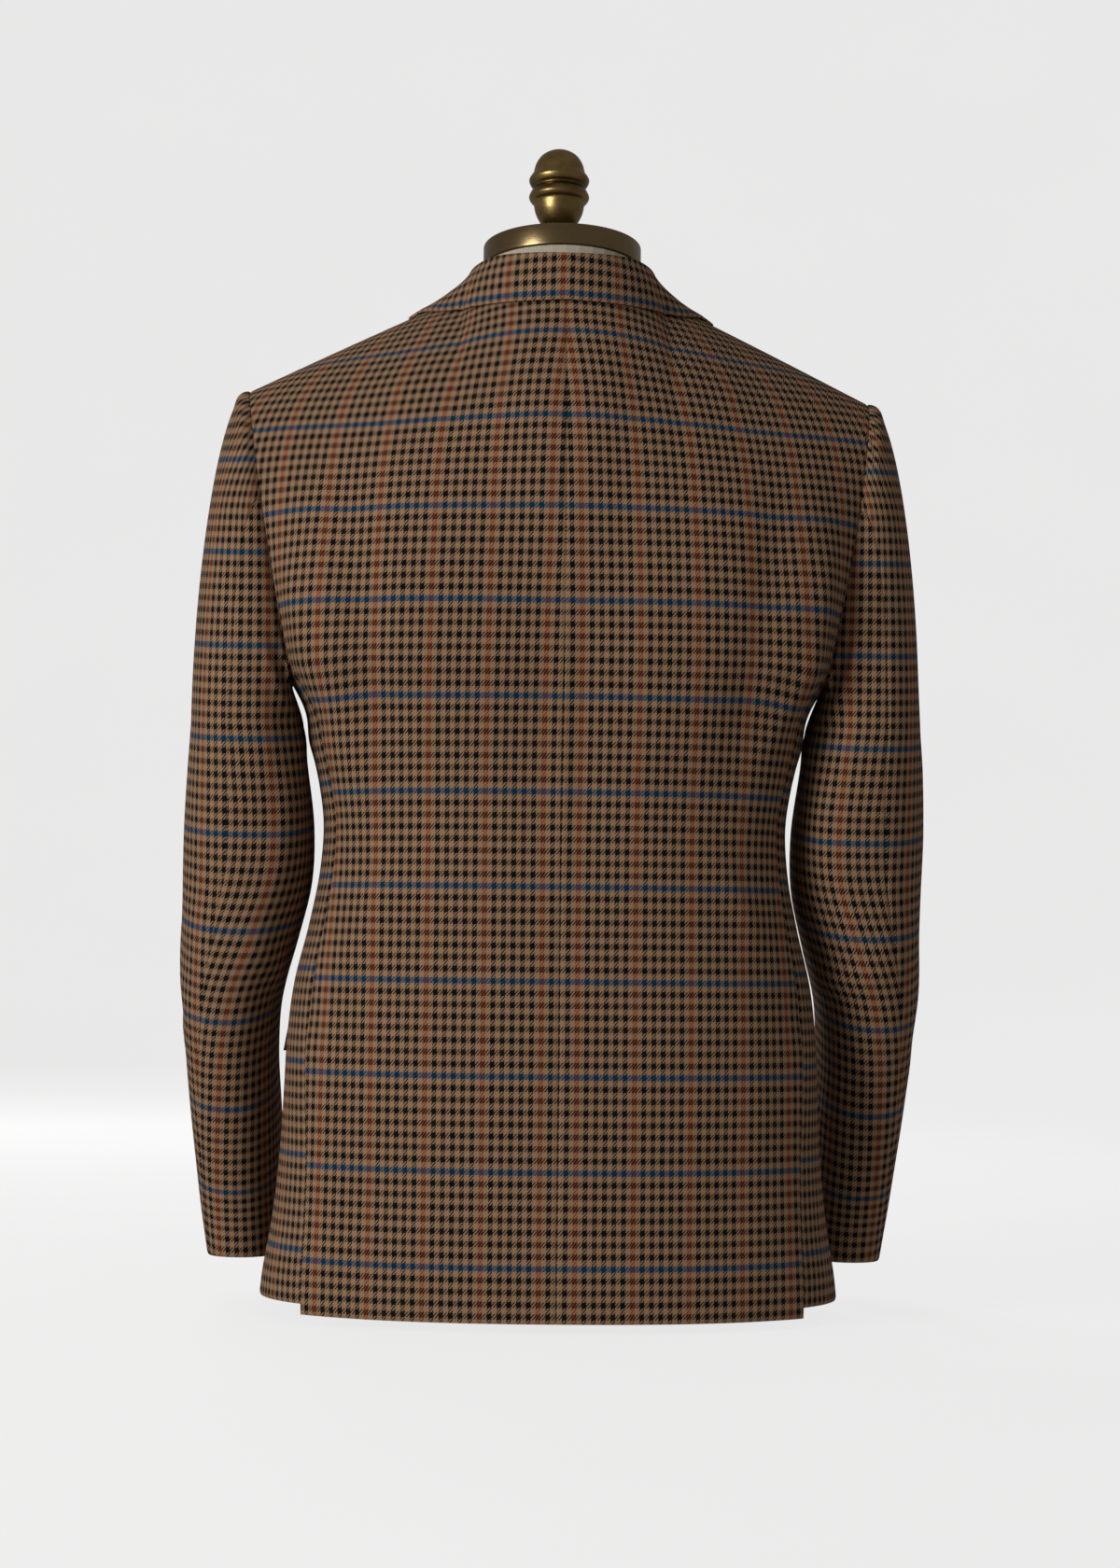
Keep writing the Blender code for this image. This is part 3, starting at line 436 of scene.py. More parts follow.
def front_upper(s, t):
    """The front from the chest line (t 0) to the shoulder seam and the roll line (t 1)."""
    chest = np.full(np.shape(s), CHEST)
    start = mix(FRONT_SEAM, front_edge_angle(chest), s)
    foot = section_point(start, chest)
    share = within((1 - s - FRONT_NECK_SHARE) / (1 - FRONT_NECK_SHARE))
    ridge = shoulder_point(share)
    turn = within((1 - s) / FRONT_NECK_SHARE)
    gorge = mix(np.array(GORGE), np.array(NECK_SIDE), turn[..., None])
    top = pick(gorge, ridge, 1 - s < FRONT_NECK_SHARE)
    top[..., 1] -= HALF_GAP
    inwards = 1 - s
    up = rise_tangent(start, mix(*FRONT_RISE, inwards))
    up[..., 0] += mix(*FRONT_SPREAD, inwards)
    up[..., 1] -= mix(*FRONT_AHEAD, inwards)
    ahead = mix(*FRONT_LEAVES, inwards) + FRONT_FULL * np.sin(math.pi * within(s))
    drop = mix(*FRONT_DROP, smooth(s, 1 - FRONT_NECK_SHARE, 1.0))
    down = point(0.0, -ahead, -drop)
    return bezier(foot, foot + up, top + down, top, t)


def back_surface(s, h):
    """The back: h from 0 to 1 is the height up to the chest line, and from 1 to 2 the rest."""
    height = hem_height(within(h) * CHEST, BACK_HEM)
    seam = np.radians(back_seam(height))
    start = gap_angle(0.0, height)
    angle = mix(start, seam - gap_angle(seam, height), s)
    low = section_point(angle, height)
    high = back_upper(s, within(h - 1))
    return pick(high, low, h > 1)


def side_surface(s, h):
    """The side body, from the back seam to the front seam; its underlap at the vent is a piece of
    its own.
    """
    middle = within(h) * CHEST
    dip = UNDERARM_DIP * np.sin(math.pi * within(s)) ** UNDERARM_DIP_CURVE
    dip = dip * smooth(h, UNDERARM_DIP_START, 1.0)
    height = hem_height(middle, SIDE_HEM) - dip
    seam = np.radians(back_seam(height))
    low = seam + gap_angle(seam, height)
    angle = mix(low, FRONT_SEAM - gap_angle(FRONT_SEAM, height), s)
    return section_point(angle, height)


def front_surface(s, h, under=False):
    """A front, from the side seam to its free edge and its roll line."""
    raw = within(h) * CHEST
    near = within(1 - (1 - s) * PANEL_ACROSS / FRONT_CORNER)
    lift = FRONT_CORNER * (1 - np.sqrt(within(1 - near**2))) * FRONT_CORNER_SHARE
    hem = mix(SIDE_HEM, FRONT_HEM, s) + lift
    height = hem_height(raw, hem)
    edge = front_edge_angle(height)
    angle = mix(FRONT_SEAM + gap_angle(FRONT_SEAM, height), edge, s)
    low = section_point(angle, height)
    high = front_upper(s, within(h - 1))
    p = pick(high, low, h > 1)
    if under:
        inward = UNDERLAP * smooth(-p[..., 0], -UNDERLAP_START, -UNDERLAP_FULL)
        inward = inward * smooth(-p[..., 1], *UNDERLAP_AHEAD)
        p = p + point(0.0, inward, 0.0)
    return p


def normals(surface, s, h, mitred=False, step=1e-4):
    """The way through a surface's cloth, which is upright at a mitred shoulder seam (h 2)."""
    inside = np.clip(h, 3 * step, 2 - 3 * step)
    across = surface(s + step, inside) - surface(s - step, inside)
    along = surface(s, inside + step) - surface(s, inside - step)
    way = np.cross(across, along)
    if mitred:
        way[..., 1] *= 1 - smooth(h, MITRE_START, 2.0)
    return way / np.linalg.norm(way, axis=-1, keepdims=True)


def armhole_point(angle):
    """A point on the armhole seam: 0 at the shoulder, 90 at the back, 180 under the arm."""
    turn = np.degrees(np.mod(angle, 2 * math.pi))
    bend = UNDERARM_TURN
    back_share = within(1 - turn / bend)
    front_share = within(1 - (360 - turn) / bend)
    under = within((turn - bend) / (360 - 2 * bend))
    back = back_upper(np.ones_like(turn), back_share)
    front = front_upper(np.zeros_like(turn), front_share)
    dip = side_surface(under, np.ones_like(turn))
    p = pick(back, dip, turn < bend)
    return pick(front, p, turn > 360 - bend)


def sleeve_ring(angle, height):
    """A point of the sleeve below the armhole: 0 outside, 90 at the back, 180 against the body."""
    reach = oval_reach(angle, SLEEVE_SQUARENESS)
    half = (sleeve_outer(height) - sleeve_inner(height)) / 2
    x = half * reach * np.cos(angle)
    y = sleeve_half_depth(height) * reach * np.sin(angle)
    turn = np.radians(sleeve_turn(height))
    middle = (sleeve_outer(height) + sleeve_inner(height)) / 2
    across = middle + x * np.cos(turn) + y * np.sin(turn)
    return point(across, sleeve_middle(height) - x * np.sin(turn) + y * np.cos(turn), height)


def hindarm(h):
    """The seam at the back of the sleeve, in degrees round it, nearer the outside at the cuff."""
    return mix(*HINDARM, smooth(h, HINDARM_BEND, 1.0))


def top_sleeve(share, h):
    """The top sleeve, from the seam at the front of the arm over the outside to the hindarm."""
    low = FOREARM - 360 + SLEEVE_GAP
    return sleeve_surface(mix(low, hindarm(h) - SLEEVE_GAP, share), h)


def under_sleeve(share, h):
    """The under sleeve, from the hindarm seam past the body to the seam at the front."""
    return sleeve_surface(mix(hindarm(h) + SLEEVE_GAP, FOREARM - SLEEVE_GAP, share), h)


def sleeve_surface(a, h):
    """The sleeve: a is degrees round it, and h goes 0 cuff, 1 upper arm, 2 armhole."""
    angle = np.radians(a)
    height = mix(SLEEVE[0][0], BICEP, within(h))
    arm = sleeve_ring(angle, height)
    foot = sleeve_ring(angle, np.full_like(angle, BICEP))
    top = armhole_point(angle)
    outside = (1 + np.cos(angle)) / 2
    up = point(-HEAD_IN * outside, 0.0, mix(*HEAD_UP, outside))
    away = point(HEAD_OUT * outside, HEAD_SPREAD * np.sin(angle), mix(*HEAD_FALL, outside))
    start = top + point(ARMHOLE_STANDOFF, 0.0, 0.0)
    cap = bezier(foot, foot + up, start + away, start, within(h - 1))
    return pick(cap, arm, h > 1)


def collar_row(name, place):
    """A value of the collar's tables at a place from the centre back (0) to the gorge (2)."""
    back = column(COLLAR_BACK, COLLAR_COLUMNS, name)(place)
    front = column(COLLAR_FRONT, COLLAR_COLUMNS, name)(place)
    return np.where(place < 1, back, front)


def collar_edge(place):
    """The collar's free edge, just over the back, the shoulder and the front."""
    s = collar_row("panel_s", place)
    t = collar_row("panel_t", place)
    at_seam = COLLAR_BACK[-1][COLLAR_COLUMNS.index("panel_s")]
    share = (at_seam - NECK_SHARE) / (1 - NECK_SHARE)
    seam = (1 - FRONT_NECK_SHARE) * (1 - share)
    ahead = mix(seam, s, smooth(place, 1.0, COLLAR_TURN))
    over = COLLAR_STANDOFF + WALL
    back = back_upper(s, t) + upper_normal(back_upper, s, t) * over
    front = front_upper(ahead, t) + upper_normal(front_upper, ahead, t) * over
    return pick(back, front, place < 1)


def upper_normal(surface, s, t, step=1e-3):
    """The outward direction of a panel above the chest line."""
    across = surface(s + step, t) - surface(s - step, t)
    along = surface(s, t) - surface(s, t - 2 * step)
    way = np.cross(along, across)
    return way / np.linalg.norm(way, axis=-1, keepdims=True)


def collar_fold(place):
    """The collar's turned edge."""
    turn = np.radians(collar_row("fold_angle", place))
    radius = collar_row("fold_radius", place)
    height = collar_row("fold_height", place)
    return point(radius * np.sin(turn), radius * np.cos(turn), height)


def collar_fall_surface(place, v):
    """The collar's fall: v 0 at its free edge and 1 at the turned edge."""
    p = mix(collar_edge(place), collar_fold(place), v[..., None])
    p[..., 2] += (COLLAR_ROLL - collar_row("sag", place)) * np.sin(math.pi * v)
    return p


def lapel_surface(faces):
    """A lapel, turned out on the front: s 0 at the roll line, v 0 at its foot."""
    width = column(LAPEL, LAPEL_COLUMNS, "width")
    foot = LAPEL_FOOT / CHEST

    def place(s, v):
        top = 1 + LAPEL_PEAK + (LAPEL_GORGE - LAPEL_PEAK) * within(1 - s)
        return faces(1 - s * width(v) - LAPEL_START, mix(foot, top, v))

    return place


# ---- Fine cloth shells ----

# Turned edges: how far the cloth rolls in at a sewn or turned edge, over what distance, where the
# finer grid lines are and how many lines they add, how much of the roll the inside takes, and the
# angle that stays a sharp edge on cloth and on hard parts
EDGE_ROLL = 0.0006
EDGE_REACH = 0.0012
EDGE_LINES = (0.0, 0.0009, 0.0018, 0.00324)
FINER = len(EDGE_LINES) - 1
INSIDE_ROLL = 0.5
CLOTH_SHARP = 55
HARD_SHARP = 40

# Soft folds: the panel, then across and up its own cloth in metres from one end to the other, the
# reach to either side and how far the cloth stands out (or lies in, where it is negative)
FOLDS = (
    ("back", 0.197, 0.600, 0.161, 0.400, 0.034, 0.0064),
    ("back", 0.169, 0.620, 0.139, 0.440, 0.028, -0.0040),
    ("back_left", 0.211, 0.560, 0.197, 0.480, 0.016, 0.0032),
    ("back_right", 0.207, 0.580, 0.189, 0.470, 0.016, 0.0042),
    ("back_right", 0.190, 0.500, 0.165, 0.440, 0.012, 0.0026),
    ("back", 0.071, 0.560, 0.086, 0.420, 0.070, 0.0018),
    ("back", 0.011, 0.560, 0.011, 0.330, 0.026, -0.0018),
    ("back_left", 0.131, 0.330, 0.161, 0.270, 0.016, 0.0016),
    ("back_right", 0.121, 0.345, 0.156, 0.290, 0.015, 0.0018),
    ("back_left", 0.176, 0.200, 0.171, 0.020, 0.022, 0.0016),
    ("back_right", 0.161, 0.190, 0.163, 0.030, 0.024, 0.0018),
    ("back", 0.061, 0.735, 0.161, 0.700, 0.022, 0.0012),
    ("side", 0.020, 0.432, 0.100, 0.432, 0.016, 0.0018),
    ("front", 0.080, 0.600, 0.150, 0.430, 0.045, 0.0040),
    ("front_left", 0.170, 0.345, 0.100, 0.395, 0.013, 0.0014),
    ("front_right", 0.160, 0.350, 0.090, 0.392, 0.013, 0.0013),
    ("sleeve_top", 0.104, 0.330, 0.144, 0.255, 0.018, 0.0022),
    ("sleeve_top_left", 0.054, 0.270, 0.124, 0.235, 0.014, 0.0022),
    ("sleeve_top_right", 0.044, 0.285, 0.114, 0.220, 0.015, 0.0026),
    ("sleeve_top_right", 0.150, 0.480, 0.130, 0.360, 0.016, 0.0020),
    ("sleeve_under_left", 0.024, 0.320, 0.094, 0.270, 0.014, 0.0026),
    ("sleeve_under_left", 0.040, 0.540, 0.070, 0.440, 0.016, 0.0024),
    ("sleeve_under_right", 0.014, 0.300, 0.084, 0.285, 0.013, 0.0028),
    ("sleeve_under_right", 0.030, 0.560, 0.075, 0.430, 0.017, 0.0032),
    ("sleeve_under", 0.054, 0.450, 0.044, 0.360, 0.020, 0.0026),
    ("sleeve_under", 0.070, 0.462, 0.140, 0.462, 0.016, 0.0016),
)

# A fold fades out over this share of its length at each end, its flank is this steep and this much
# uneven, and all folds flatten out from this far inside a piece's edge
FOLD_END = 0.35
FOLD_STEEP = 1.6
FOLD_UNEVEN = 0.5
FOLD_FLAT = (-0.002, 0.012)


def share_lines(count, length):
    """Grid lines across a length, as shares: even ones, with finer ones at both edges."""
    near = np.array(EDGE_LINES) / length
    even = np.linspace(near[-1], 1 - near[-1], count)
    return np.concatenate([near[:-1], even, 1 - near[-2::-1]])


def lengths(points, axis):
    """How far each grid point is along its own row or column of cloth."""
    step = np.linalg.norm(np.diff(points, axis=axis), axis=-1)
    start = np.zeros_like(np.take(step, [0], axis=axis))
    return np.concatenate([start, np.cumsum(step, axis=axis)], axis=axis)


def fold_relief(name, across, up):
    """How far the soft folds of a piece lift its cloth."""
    rise = np.zeros_like(across)
    for panel, across_0, up_0, across_1, up_1, reach, lift in FOLDS:
        if panel != name and not name.startswith(panel + "_"):
            continue
        way = np.array([across_1 - across_0, up_1 - up_0])
        length = np.linalg.norm(way)
        way = way / length
        x = across - across_0
        y = up - up_0
        along = (x * way[0] + y * way[1]) / length
        off = (x * way[1] - y * way[0]) / reach
        end = smooth(along, -FOLD_END, FOLD_END) * smooth(1 - along, -FOLD_END, FOLD_END)
        rise += lift * end * np.exp(-(off**2) * (FOLD_STEEP + FOLD_UNEVEN * np.sin(off)))
    return rise


def cloth_shell(
    name, surface, across, along, flip, side, pattern, out=0.0, lift=None, mitred=False
):
    """A thin shell of cloth on a surface, with its folds, its turned edges and its flat pattern.

    pattern turns distances over the cloth into the weave's own coordinates, out holds the piece
    off the surface, and lift adds to it from place to place."""
    grid_s, grid_h = np.meshgrid(across, along, indexing="ij")
    base = surface(grid_s, grid_h)
    facing = normals(surface, grid_s, grid_h, mitred) * flip
    over = lengths(base, 0)
    up = lengths(base, 1)
    edge = np.minimum(np.minimum(over, over[-1:] - over), np.minimum(up, up[:, -1:] - up))
    roll = EDGE_ROLL * np.exp(-((edge / EDGE_REACH) ** 2))
    u, v = pattern(grid_h, base, over, up)
    rise = fold_relief(name, over, v) * smooth(edge, *FOLD_FLAT) + out
    if lift is not None:
        rise = rise + lift(grid_h, over, base)
    outer = base + facing * (rise - roll)[..., None]
    inner = base + facing * (rise - WALL + roll * INSIDE_ROLL)[..., None]
    bm = bmesh.new()
    column_of = bm.verts.layers.int.new("column")
    row_of = bm.verts.layers.int.new("row")
    columns = len(across) - 1
    rows = len(along) - 1
    bmesh.ops.create_grid(bm, x_segments=columns, y_segments=rows, size=1.0)
    for vert in bm.verts:
        vert[column_of] = round((vert.co.x + 1) / 2 * columns)
        vert[row_of] = round((vert.co.y + 1) / 2 * rows)
    outside = list(bm.verts)
    made = bmesh.ops.extrude_face_region(bm, geom=bm.faces[:])
    inside = [item for item in made["geom"] if isinstance(item, bmesh.types.BMVert)]
    for verts, place in ((outside, outer), (inside, inner)):
        for vert in verts:
            x, y, z = place[vert[column_of], vert[row_of]]
            vert.co = (x * side, y, z)
    if bm.calc_volume(signed=True) < 0:
        bmesh.ops.reverse_faces(bm, faces=bm.faces[:])
    woven = bm.loops.layers.uv.new("weave")
    for face in bm.faces:
        for loop in face.loops:
            at = loop.vert[column_of], loop.vert[row_of]
            loop[woven].uv = (u[at] * side * flip, v[at])
    return finished("cloth_" + name, bm, cloth_finish, CLOTH_SHARP)


def linked(name, data):
    """A new object in the scene."""
    made = bpy.data.objects.new(name, data)
    bpy.context.scene.collection.objects.link(made)
    return made


def placed(name, bm, finish):
    """Puts a bmesh into the scene as a smooth object with its finish."""
    mesh = bpy.data.meshes.new(name)
    bm.to_mesh(mesh)
    bm.free()
    mesh.materials.append(finish)
    mesh.shade_smooth()
    return linked(name, mesh)


def finished(name, bm, finish, sharp=HARD_SHARP):
    """Puts a bmesh into the scene as a piece that rides on the part's body."""
    piece = placed(name, bm, finish)
    piece.data.set_sharp_from_angle(angle=math.radians(sharp))
    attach(piece, "root")
    return piece


# Where the weave's lines fall: the nearest rust line from the centre back seam, at its heights
STRIPE_COLUMNS = ("height", "from_seam")
STRIPE = (
    (0.000, 0.0130),
    (0.250, 0.0130),
    (0.570, 0.0116),
    (0.700, 0.0068),
    (0.757, 0.0000),
    (0.800, 0.0000),
)

# Where the weave starts on the other pieces, across and up
SIDE_SHIFT = (0.0050, -0.0070)
FRONT_SHIFT = (0.0100, -0.0040)
LAPEL_SHIFT = 0.0100
SLEEVE_SHIFT = 0.0476
COLLAR_SHIFT = 0.0431

# The sleeve's weave: steps along its lean, the least share of a grid step that counts as across,
# and between which heights the sleeve head opens out, and by how much
SLEEVE_STEPS = 90
LEAST_ACROSS = 0.55
HEAD_OPENS = (0.600, 0.740)
HEAD_OPENING = 0.80

# Vents at the back seams, and what lies under them
VENT_TOP = 0.235
VENT_PROUD = 0.0026
VENT_FADE = 0.036
VENT_OPENS = (-0.004, 0.040)
VENT_SHORTER = 0.003
VENT_UNDER = -0.0006
UNDERLAP_WIDTH = 0.026

# The roll of the sleeve head, how far outside the seam it is, and the heights where it starts
HEAD_ROLL = 0.0016
HEAD_AT = 0.0085
HEAD_REACH = 0.0065
HEAD_STARTS = (0.60, 0.68)

# The sleeve's seam allowance at the armhole: how far it goes in and drops under the body's cloth,
# over which share of it, and the middle that it drops towards
ALLOWANCE = 0.0070
ALLOWANCE_DROP = 0.0034
ALLOWANCE_DROPS = (0.0, 0.5)
ARMHOLE_MIDDLE = (0.0, 0.0050, 0.5900)

# How far a flap stands off at its foot, all along and more at its back corner, and how it curves
FLAP_STANDOFF = 0.0008
FLAP_FLARE = 0.0034
FLAP_FLARE_REACH = 0.018
FLAP_CURVE = 1.6

# The collar's turn: where its roll ends and its stand starts, and how far it flattens, from where
ROLL_END = 1.3
COLLAR_FLAT = 0.0022
COLLAR_FLAT_FROM = 0.55


def body_up(grid_h, base, up):
    """Up the cloth of a body panel: its height to the chest line, then the cloth's own length."""
    row = int(np.argmin(np.abs(grid_h[0] - 1.0)))
    return np.where(grid_h > 1, CHEST + up - up[:, row : row + 1], base[..., 2])


def back_weave(grid_h, base, over, up):
    v = body_up(grid_h, base, up)
    return over - column(STRIPE, STRIPE_COLUMNS, "from_seam")(v), v


def side_weave(grid_h, base, over, up):
    return over + SIDE_SHIFT[0], base[..., 2] + SIDE_SHIFT[1]


def front_weave(grid_h, base, over, up):
    return over + FRONT_SHIFT[0], body_up(grid_h, base, up) + FRONT_SHIFT[1]


def lapel_weave(grid_h, base, over, up):
    return over, up + LAPEL_SHIFT


def sleeve_weave(grid_h, base, over, up):
    """Up the sleeve from its cuff, with the cross lines square to its lean, and round it."""
    heights = np.linspace(SLEEVE[0][0], BICEP, SLEEVE_STEPS)
    middle = sleeve_middle(heights)
    lean = np.arctan(np.gradient(middle, heights))
    along = np.hypot(np.diff(heights), np.diff(middle))
    length = np.concatenate([[0.0], np.cumsum(along)])
    height = np.clip(base[..., 2], heights[0], heights[-1])
    ahead = base[..., 1] - sleeve_middle(height)
    v = np.interp(height, heights, length) + base[..., 2] - height
    v = v + ahead * np.sin(np.interp(height, heights, lean))
    step = np.diff(over, axis=0)
    level = np.maximum(step**2 - np.diff(v, axis=0) ** 2, (LEAST_ACROSS * step) ** 2)
    round_it = np.cumsum(np.sqrt(level), axis=0)
    u = np.concatenate([np.zeros_like(round_it[:1]), round_it])
    u = u - u[len(u) // 2]
    turn = sleeve_turning(base)
    upper_arm = int(np.argmin(np.abs(grid_h[0] - 1.0)))
    from_turn = u[:, upper_arm]
    at_turn = turn[:, upper_arm]
    slope = (from_turn[-1] - from_turn[0]) / (at_turn[-1] - at_turn[0])
    above = np.interp(turn, at_turn, from_turn)
    above = above + slope * (turn - np.clip(turn, at_turn[0], at_turn[-1]))
    return np.where(grid_h > 1, above, u), v + SLEEVE_SHIFT


def sleeve_turning(p):
    """How far round the sleeve a point is, as an angle that the head of the sleeve opens out."""
    half = (sleeve_outer(BICEP) - sleeve_inner(BICEP)) / 2
    across = (p[..., 0] - sleeve_inner(BICEP)) / half - 1
    along = (p[..., 1] - sleeve_middle(BICEP)) / sleeve_half_depth(BICEP)
    opened = across + HEAD_OPENING * smooth(p[..., 2], *HEAD_OPENS)
    return np.unwrap(np.arctan2(along, opened), axis=0)


def collar_weave(grid_h, base, over, up):
    middle = over[len(over) // 2]
    return over - middle, up + COLLAR_SHIFT


def vent_lift(grid_h, over, base):
    """The back's edge stands a little proud of the side body below the top of the vent."""
    from_edge = over[-1:] - over
    low = smooth(VENT_TOP - base[..., 2], *VENT_OPENS)
    return VENT_PROUD * low * (1 - smooth(from_edge, 0.0, VENT_FADE))


def underlap_surface(s, h):
    """The vent's underlap: the side body's cloth going on under the back's edge."""
    height = hem_height(within(h) * VENT_TOP, SIDE_HEM + VENT_SHORTER)
    seam = np.radians(back_seam(height))
    across = section_point(seam, height)
    radius = np.hypot(across[..., 0], across[..., 1])
    return section_point(seam + gap_angle(seam, height) - s * UNDERLAP_WIDTH / radius, height)


def turned_in(surface):
    """A sleeve with its seam allowance: past the armhole it goes on in under the body's cloth."""

    def place(share, h):
        seam = np.clip(h, 0, 2)
        p = surface(share, seam)
        middle = np.array(ARMHOLE_MIDDLE)
        way = (middle - p) * np.array((0.0, 1.0, 1.0))
        way /= np.linalg.norm(way, axis=-1, keepdims=True)
        past = within(h - seam)
        p += way * (ALLOWANCE_DROP * smooth(past, *ALLOWANCE_DROPS))[..., None]
        p[..., 0] -= ALLOWANCE * past
        return p

    return place


def head_lift(grid_h, over, base):
    """The soft roll of the sleeve head, just outside the armhole seam."""
    up = lengths(base, 1)
    seam = int(np.argmin(np.abs(grid_h[0] - 2.0)))
    from_seam = up[:, seam : seam + 1] - up
    high = smooth(base[:, seam : seam + 1, 2], *HEAD_STARTS)
    return HEAD_ROLL * high * np.exp(-(((from_seam - HEAD_AT) / HEAD_REACH) ** 2))


def flap_lift(grid_h, over, base):
    """A flap stands off at its foot, most at its back corner."""
    foot = (base[:, -1:, 2] - base[..., 2]) / (FLAP_TOP - FLAP_FOOT)
    corner = np.exp(-over / FLAP_FLARE_REACH)
    return within(foot) ** FLAP_CURVE * (FLAP_STANDOFF + FLAP_FLARE * corner)


def collar_surface(place, w):
    """The whole collar as one turned cloth: its fall (w 0 to 1), its roll, and its stand (to 2)."""
    near = np.abs(place)
    fall = collar_fall_surface(near, within(w))
    top = collar_fold(near)
    inner = top.copy()
    flat = np.hypot(top[..., 0], top[..., 1])
    inner[..., :2] *= (1 - 2 * (WALL + LAYER_GAP) / flat)[..., None]
    turn = within((w - 1) / (ROLL_END - 1))
    roll = mix(top, inner, ((1 - np.cos(math.pi * turn)) / 2)[..., None])
    roll[..., 2] += (WALL + LAYER_GAP) * np.sin(math.pi * turn)
    foot = inner.copy()
    at_side = NECK_SIDE[2] + STAND_OVER_NECK
    foot[..., 2] = mix(STAND_FOOT, at_side, smooth(near, *STAND_CLIMBS))
    foot[..., 2] = mix(foot[..., 2], top[..., 2] - STAND_LEAST, smooth(near, 1.0, STAND_END))
    down = mix(inner, foot, within((w - ROLL_END) / (2 - ROLL_END))[..., None])
    p = pick(roll, fall, w > 1)
    p = pick(down, p, w > ROLL_END)
    p[..., 2] -= COLLAR_FLAT * smooth(w, COLLAR_FLAT_FROM, 1.0)
    p[..., 0] *= np.where(place < 0, -1, 1)
    return p


# Lines of the cloth grids, and the length in metres that they are spread over: across each piece,
# up each piece, and up the parts of the tall ones
LINES_ACROSS = {
    "back": (52, 0.19),
    "side": (34, 0.14),
    "front": (60, 0.21),
    "lapel": (24, 0.08),
    "flap": (34, 0.10),
    "breast_welt": (24, 0.06),
    "sleeve_top": (58, 0.20),
    "sleeve_under": (44, 0.15),
    "vent_underlap": (8, UNDERLAP_WIDTH),
}
LINES_UP = {
    "side": (96, CHEST),
    "lapel": (90, 0.36),
    "flap": (18, 0.05),
    "breast_welt": (10, 0.022),
    "vent_underlap": (50, VENT_TOP),
    "sleeve": (72, 0.41),
    "sleeve_head": (44, 0.24),
}
UPPER_LINES = 58
SEAM_LINES = (1.99, 1.996, 2.0)
ALLOWANCE_LINES = 7


def body_lines():
    """Grid lines up a back or front: to the chest line (1) and on to the shoulder seam (2)."""
    upper = 1 + np.linspace(0, 1, UPPER_LINES)[1:-1]
    return np.concatenate([share_lines(*LINES_UP["side"])[:-FINER], [1.0], upper, SEAM_LINES])


def sleeve_lines():
    """Grid lines up a sleeve: to the upper arm (1), the armhole (2) and its allowance (3)."""
    arm = share_lines(*LINES_UP["sleeve"])[:-FINER]
    head = 1 + share_lines(*LINES_UP["sleeve_head"])[FINER:-FINER]
    return np.concatenate([arm, [1.0], head, 2 + np.linspace(0, 1, ALLOWANCE_LINES)])


def make_coat_side(side):
    """The cloth pieces of one side: 1 is the wearer's left, -1 the right."""

    def front(s, h):
        return front_surface(s, h, side < 0)

    across = {name: share_lines(*lines) for name, lines in LINES_ACROSS.items()}
    up = {name: share_lines(*lines) for name, lines in LINES_UP.items()}
    up["back"] = up["front"] = body_lines()
    up["sleeve_top"] = up["sleeve_under"] = sleeve_lines()
    across["flap"] = mix(*FLAP_SPAN, across["flap"])
    up["flap"] = mix(FLAP_FOOT, FLAP_TOP, up["flap"]) / CHEST
    across["breast_welt"] = mix(*WELT_SPAN, across["breast_welt"])
    up["breast_welt"] = mix(*WELT_RISE, up["breast_welt"])
    on_front = WALL + LAYER_GAP
    pieces = [
        ("back", back_surface, -1, back_weave, {"lift": vent_lift, "mitred": True}),
        ("side", side_surface, -1, side_weave, {}),
        ("front", front, -1, front_weave, {"mitred": True}),
        ("lapel", lapel_surface(front), 1, lapel_weave, {"out": WALL + LAPEL_STANDOFF}),
        ("flap", front, -1, front_weave, {"out": on_front, "lift": flap_lift}),
        ("breast_welt", front, -1, front_weave, {"out": on_front}),
        ("sleeve_top", turned_in(top_sleeve), 1, sleeve_weave, {"lift": head_lift}),
        ("sleeve_under", turned_in(under_sleeve), 1, sleeve_weave, {}),
        ("vent_underlap", underlap_surface, 1, side_weave, {"out": VENT_UNDER}),
    ]
    for cloth, surface, flip, weave, options in pieces:
        name = cloth + ("_left" if side > 0 else "_right")
        if cloth == "breast_welt":
            if side < 0:
                continue
            name = cloth
        grid = across[cloth], up[cloth]
        piece = cloth_shell(name, surface, *grid, flip, side, weave, **options)
        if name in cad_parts:
            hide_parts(name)


COLLAR_LINES = (110, 0.4)
COLLAR_FALL_LINES = (22, 0.045)
COLLAR_TURN_LINES = 9


def make_collar():
    last = COLLAR_FRONT[-1][0]
    across = (2 * share_lines(*COLLAR_LINES) - 1) * last
    fall = share_lines(*COLLAR_FALL_LINES)[:-FINER]
    roll = np.linspace(1.0, ROLL_END, COLLAR_TURN_LINES)
    stand = np.linspace(ROLL_END, 2.0, COLLAR_TURN_LINES)[1:]
    along = np.concatenate([fall, roll, stand])
    collar = cloth_shell("collar", collar_surface, across, along, -1, 1, collar_weave)
    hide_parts("collar_fall", "collar_stand")


# ---- Buttons, neck cap and finial ----

# A button's profile from the middle of its face round to its back: how far it is in from the edge
# and below the face
BUTTON_PROFILE = (
    (BUTTON_RADIUS, BUTTON_DISH),
    (0.00320, BUTTON_DISH),
    (0.00220, 0.000440),
    (0.00160, 0.000064),
    (0.00096, 0.0),
    (0.00040, 0.000224),
    (0.0, 0.001120),
    (0.0, 0.002240),
    (0.00070, 0.003040),
    (0.00140, BUTTON_THICK),
    (BUTTON_RADIUS, BUTTON_THICK),
)

